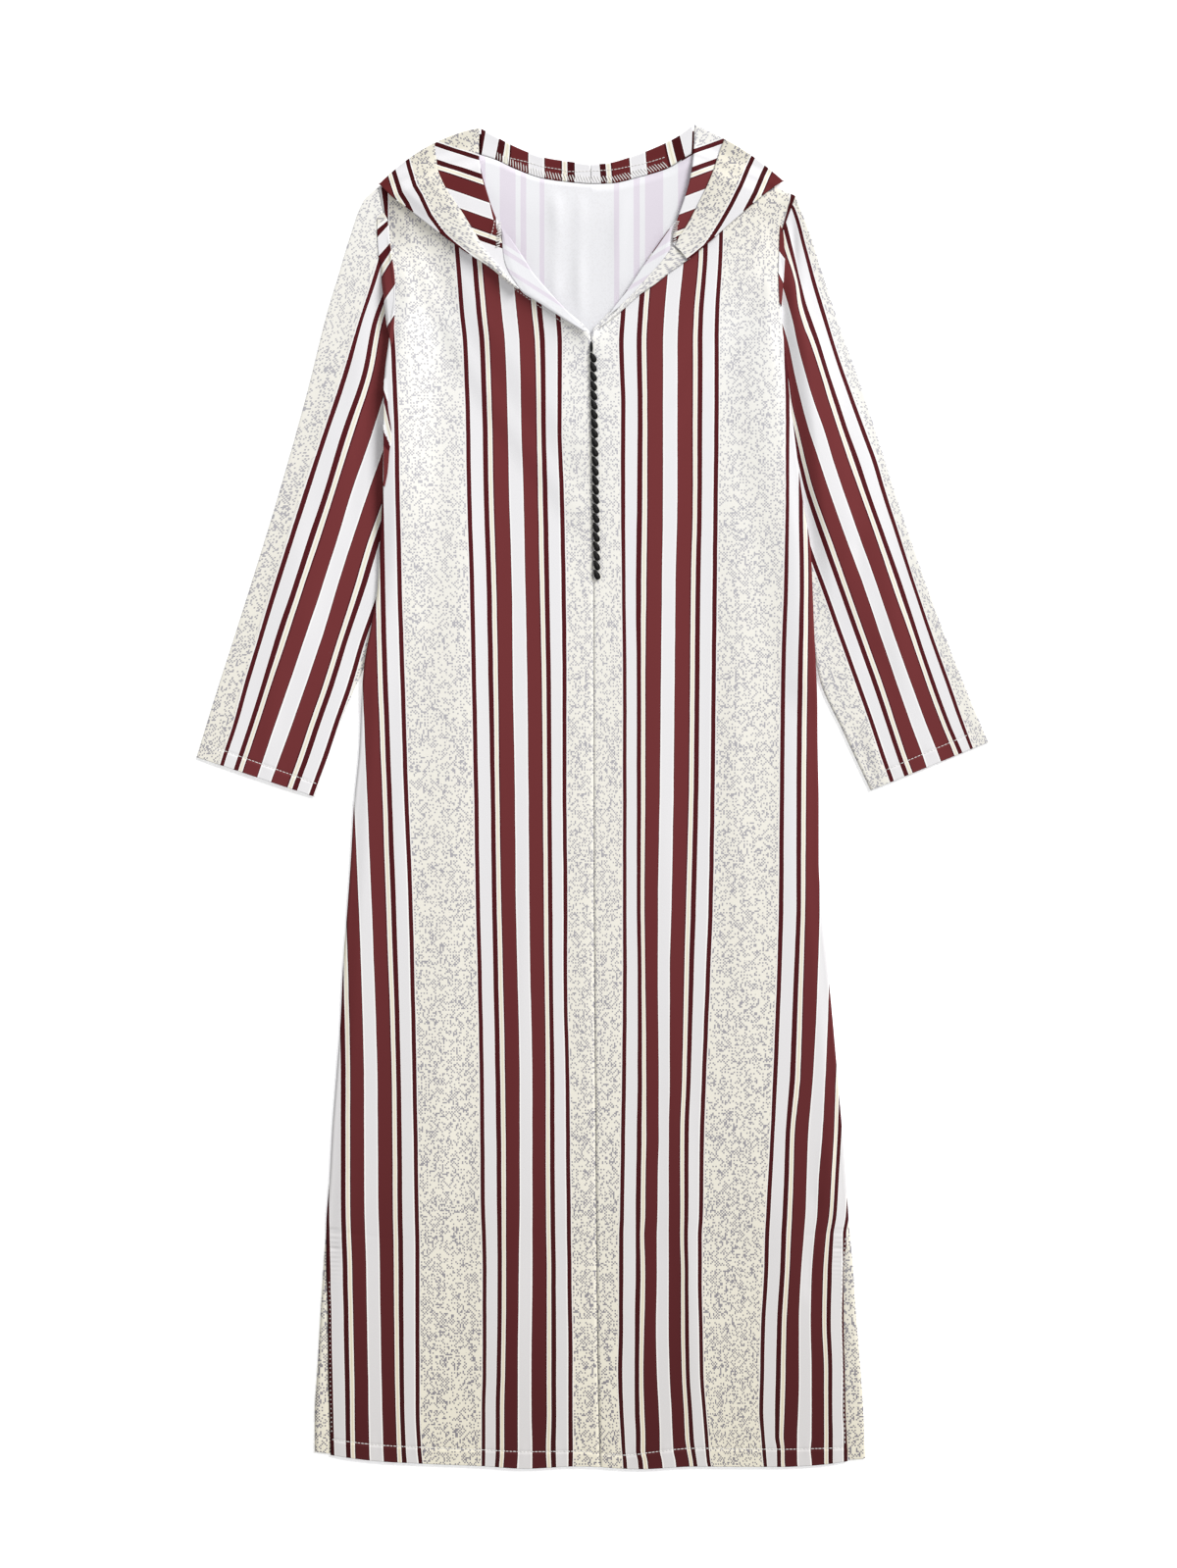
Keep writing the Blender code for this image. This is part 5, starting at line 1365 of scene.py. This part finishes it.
def sewing_rows():
    """Every row of stitches: its stitch, the surface it lies on, how far it is raised, and its places."""
    Row = namedtuple("Row", "stitch surface raised places")
    hem = [p for p in STITCH_LINE[1:] if p.across < 870]
    neck = [(p.across, p.down - NECK_STITCH_UP) for p in NECK_SEAM[1:-1]]
    return table(Row,
        (HEM_STITCH, front_top, STITCH_RAISED, [p for p in hem if p.across < 606] + [(605, 1480.9)]),
        (HEM_STITCH, front_top, STITCH_RAISED, [(620, 1483)] + [p for p in hem if p.across > 606]),
        # the back's hem, beyond the fronts
        (HEM_STITCH, stand_top, 0.32, [(322, 1466), (332, 1468)]),
        (HEM_STITCH, stand_top, 0.32, [(867.5, 1474), (881, 1470)]),
        # the slits
        (Stitch(4.6, 2.8, 0.9, 0), front_top, STITCH_RAISED,
         [(862.2, 1262), (859.2, 1300), (858.4, 1340), (859.6, 1400), (861.6, 1474)]),
        (Stitch(4.6, 1.5, 0.8, 0), front_top, STITCH_RAISED,
         [(335.4, 1306), (336.2, 1340), (336.4, 1400), (338, 1464)]),
        # the hood's stand and the neck's seam
        (Stitch(3.6, 3.1, 0.85, 0), stand_top, STITCH_RAISED,
         [(519.3, 160.6), (536.3, 164.6), (555.9, 170), (572.4, 172.7), (579, 174.5), (623, 172.8),
          (640.2, 169.7), (661.2, 165.1), (679.6, 159.4)]),
        (Stitch(2.9, 8.2, 1.1, 64), stand_top, STITCH_RAISED, neck),
        # the neck's turned edges
        (Stitch(2.9, 5.6, 1.5, 60), strip_top, 0.5, [(509.2, 228), (508.8, 243), (507.6, 253)]),
        (Stitch(3.4, 2.6, 0.9, 0), strip_top, 2.72, [(504.6, 226), (503, 235), (500.6, 243)]),
        (Stitch(3.1, 6.6, 1.3, 62), strip_top, STITCH_RAISED,
         [(694, 265.6), (688, 268), (672, 280.6), (655, 293.4), (641, 304.4), (632, 312)]),
        (Stitch(2.3, 4.4, 1.1, 64), strip_top, 0.5, [(690.8, 226), (689, 232), (688, 239), (687.6, 247.5)]),
        (Stitch(3.5, 2.5, 0.8, 0), front_top, STITCH_RAISED,
         [(524, 295.4), (540, 306.4), (557, 318.4), (574, 330.2), (590, 340.4)]))


def make_sewing(material):
    shapes = []
    for row in sewing_rows():
        shapes += stitch_shapes(on_top(row.places, row.surface, row.raised), row.stitch)
    for side in SIDES:
        across, down, height = sleeve_top(side, np.linspace(*CUFF_ROW), CUFF_STITCH)
        shapes += stitch_shapes(np.column_stack([across, down, height + STITCH_RAISED]), HEM_STITCH)
    new_piece("sewing_thread", *joined(shapes), [material])


# --- room ----------------------------------------------------------------------------------------
WORLD_LIGHT = 0.50
SUN_POWER = 3.1
SUN_HEIGHT = math.radians(33)
SUN_TURN = math.radians(48)  # from the right towards the top
SUN_SPREAD = math.radians(24)
FLOOR_GLOW = 0.32
PICTURE_HEIGHT = 1599.0
PICTURE_MIDDLE = (600.0 - BOARD_MIDDLE[0], BOARD_MIDDLE[1] - 799.5)
FLOOR_HALF = 4.0  # metres
LENS, SENSOR, FARTHEST = 85, 36, 50
PICTURE_PLANE = 0.006  # the height in metres at which a picture's millimetre is the board's


def put_in_scene(name, data):
    made = bpy.data.objects.new(name, data)
    bpy.context.scene.collection.objects.link(made)
    return made


def make_room():
    """The white floor, the sky, the sun and the camera."""
    scene = bpy.context.scene
    scene.view_settings.view_transform = "Standard"
    world = bpy.data.worlds.new("soft_room")
    world.use_nodes = True
    sky = world.node_tree.nodes["Background"].inputs
    sky[0].default_value, sky[1].default_value = (1, 1, 1, 1), WORLD_LIGHT
    scene.world = world
    mesh = bpy.data.meshes.new("floor")
    corners = [(x * FLOOR_HALF, y * FLOOR_HALF, 0) for x, y in ((-1, -1), (1, -1), (1, 1), (-1, 1))]
    mesh.from_pydata(corners, [], [(0, 1, 2, 3)])
    mesh.materials.append(floor_material())
    floor = put_in_scene("floor", mesh)
    light = bpy.data.lights.new("sun", "SUN")
    light.energy, light.angle = SUN_POWER, SUN_SPREAD
    put_in_scene("sun", light).rotation_euler = (0, math.pi / 2 - SUN_HEIGHT, SUN_TURN)
    camera = bpy.data.cameras.new("camera")
    camera.lens, camera.sensor_width, camera.clip_end = LENS, SENSOR, FARTHEST
    eye = put_in_scene("camera", camera)
    eye_height = PICTURE_HEIGHT * MM * LENS / SENSOR + PICTURE_PLANE
    eye.location = (PICTURE_MIDDLE[0] * MM, PICTURE_MIDDLE[1] * MM, eye_height)
    scene.camera = eye


# --- sheets ----------------------------------------------------------------------------------------
# Each sheet of cloth: its CAD node, its width, length and area as cut, in metres, how it lies, and the names
# of what it lies on and of what is sewn to it.
Sheet = namedtuple("Sheet", "piece node width length area held rests extras")
SHEETS = table(Sheet,
    ("hood_bag_cloth", "hood_bag", 0.39, 0.37, 0.090, "folded", "", ""),
    ("back_cloth", "back", 0.59, 1.345, 0.650, "laid",
     "hood_bag_cloth sleeve_cloth_left sleeve_cloth_right", ""),
    ("front_cloth_left", "front_left", 0.31, 1.34, 0.325, "laid", "back_cloth", "sewing_thread"),
    ("front_cloth_right", "front_right", 0.30, 1.34, 0.305, "laid", "back_cloth", ""),
    ("sleeve_cloth_left", "sleeve_left", 0.28, 0.64, 0.132, "folded", "",
     "sleeve_turn_left_cloth side_turn_left_cloth sleeve_edge_left_cloth"),
    ("sleeve_cloth_right", "sleeve_right", 0.26, 0.64, 0.121, "folded", "",
     "sleeve_turn_right_cloth sleeve_edge_right_cloth"),
    ("hood_cloth_left", "hood_left", 0.15, 0.19, 0.0165, "folded", "front_cloth_left", ""),
    ("hood_cloth_right", "hood_right", 0.14, 0.17, 0.0140, "folded", "front_cloth_right", ""),
    ("neck_turn_left_cloth", "neck_turn_left", 0.025, 0.15, 0.0019, "laid", "front_cloth_left", ""),
    ("neck_turn_right_cloth", "neck_turn_right", 0.016, 0.125, 0.0010, "laid", "front_cloth_right", ""),
    ("neck_band_right_cloth", "neck_band_right", 0.014, 0.12, 0.0010, "laid", "front_cloth_right", ""),
    ("hood_stand_left", "hood_neck_left", 0.122, 0.028, 0.0026, "laid", "hood_bag_cloth", ""),
    ("hood_stand_right", "hood_neck_right", 0.122, 0.028, 0.0026, "laid", "hood_bag_cloth", ""))


def pieces(names):
    return [robe.objects[name] for name in names.split()]


def declare():
    """Attaches each piece to the root and hides the CAD parts that it stands for."""
    for sheet in SHEETS:
        piece = robe.objects[sheet.piece]
        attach(piece, "root")
        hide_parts(sheet.node)
    for extra in pieces(" ".join(name + "_cloth" for name in TUCKS) + " sewing_thread"):
        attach(extra, "root")
    braid = robe.objects["braid_cord"]
    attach(braid, "root")
    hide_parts("braid_tip", *(f"braid_bead_{i + 1:02d}" for i in range(BEADS)))


def main():
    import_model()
    bpy.context.scene.collection.children.link(robe)
    cloth = striped_material("striped_cloth", "cloth")
    lining = striped_material("hood_lining", "lining")
    wrong = striped_material("cloth_wrong_side", "cloth", wrong=True)
    black = thread_material("black_braid", BLACK, sheen=0.0, specular=0.15)
    white = thread_material("white_thread", THREAD, groove_shade=0.86)
    make_fronts(cloth, wrong)
    make_back(cloth, wrong)
    make_sleeves(cloth, wrong)
    make_falls(cloth, lining)
    make_stands(cloth, wrong)
    make_bag(cloth)
    make_strips(cloth, wrong)
    make_tucks(cloth, wrong)
    make_braid(black)
    make_sewing(white)
    declare()
    make_room()
    bpy.context.view_layer.update()


main()
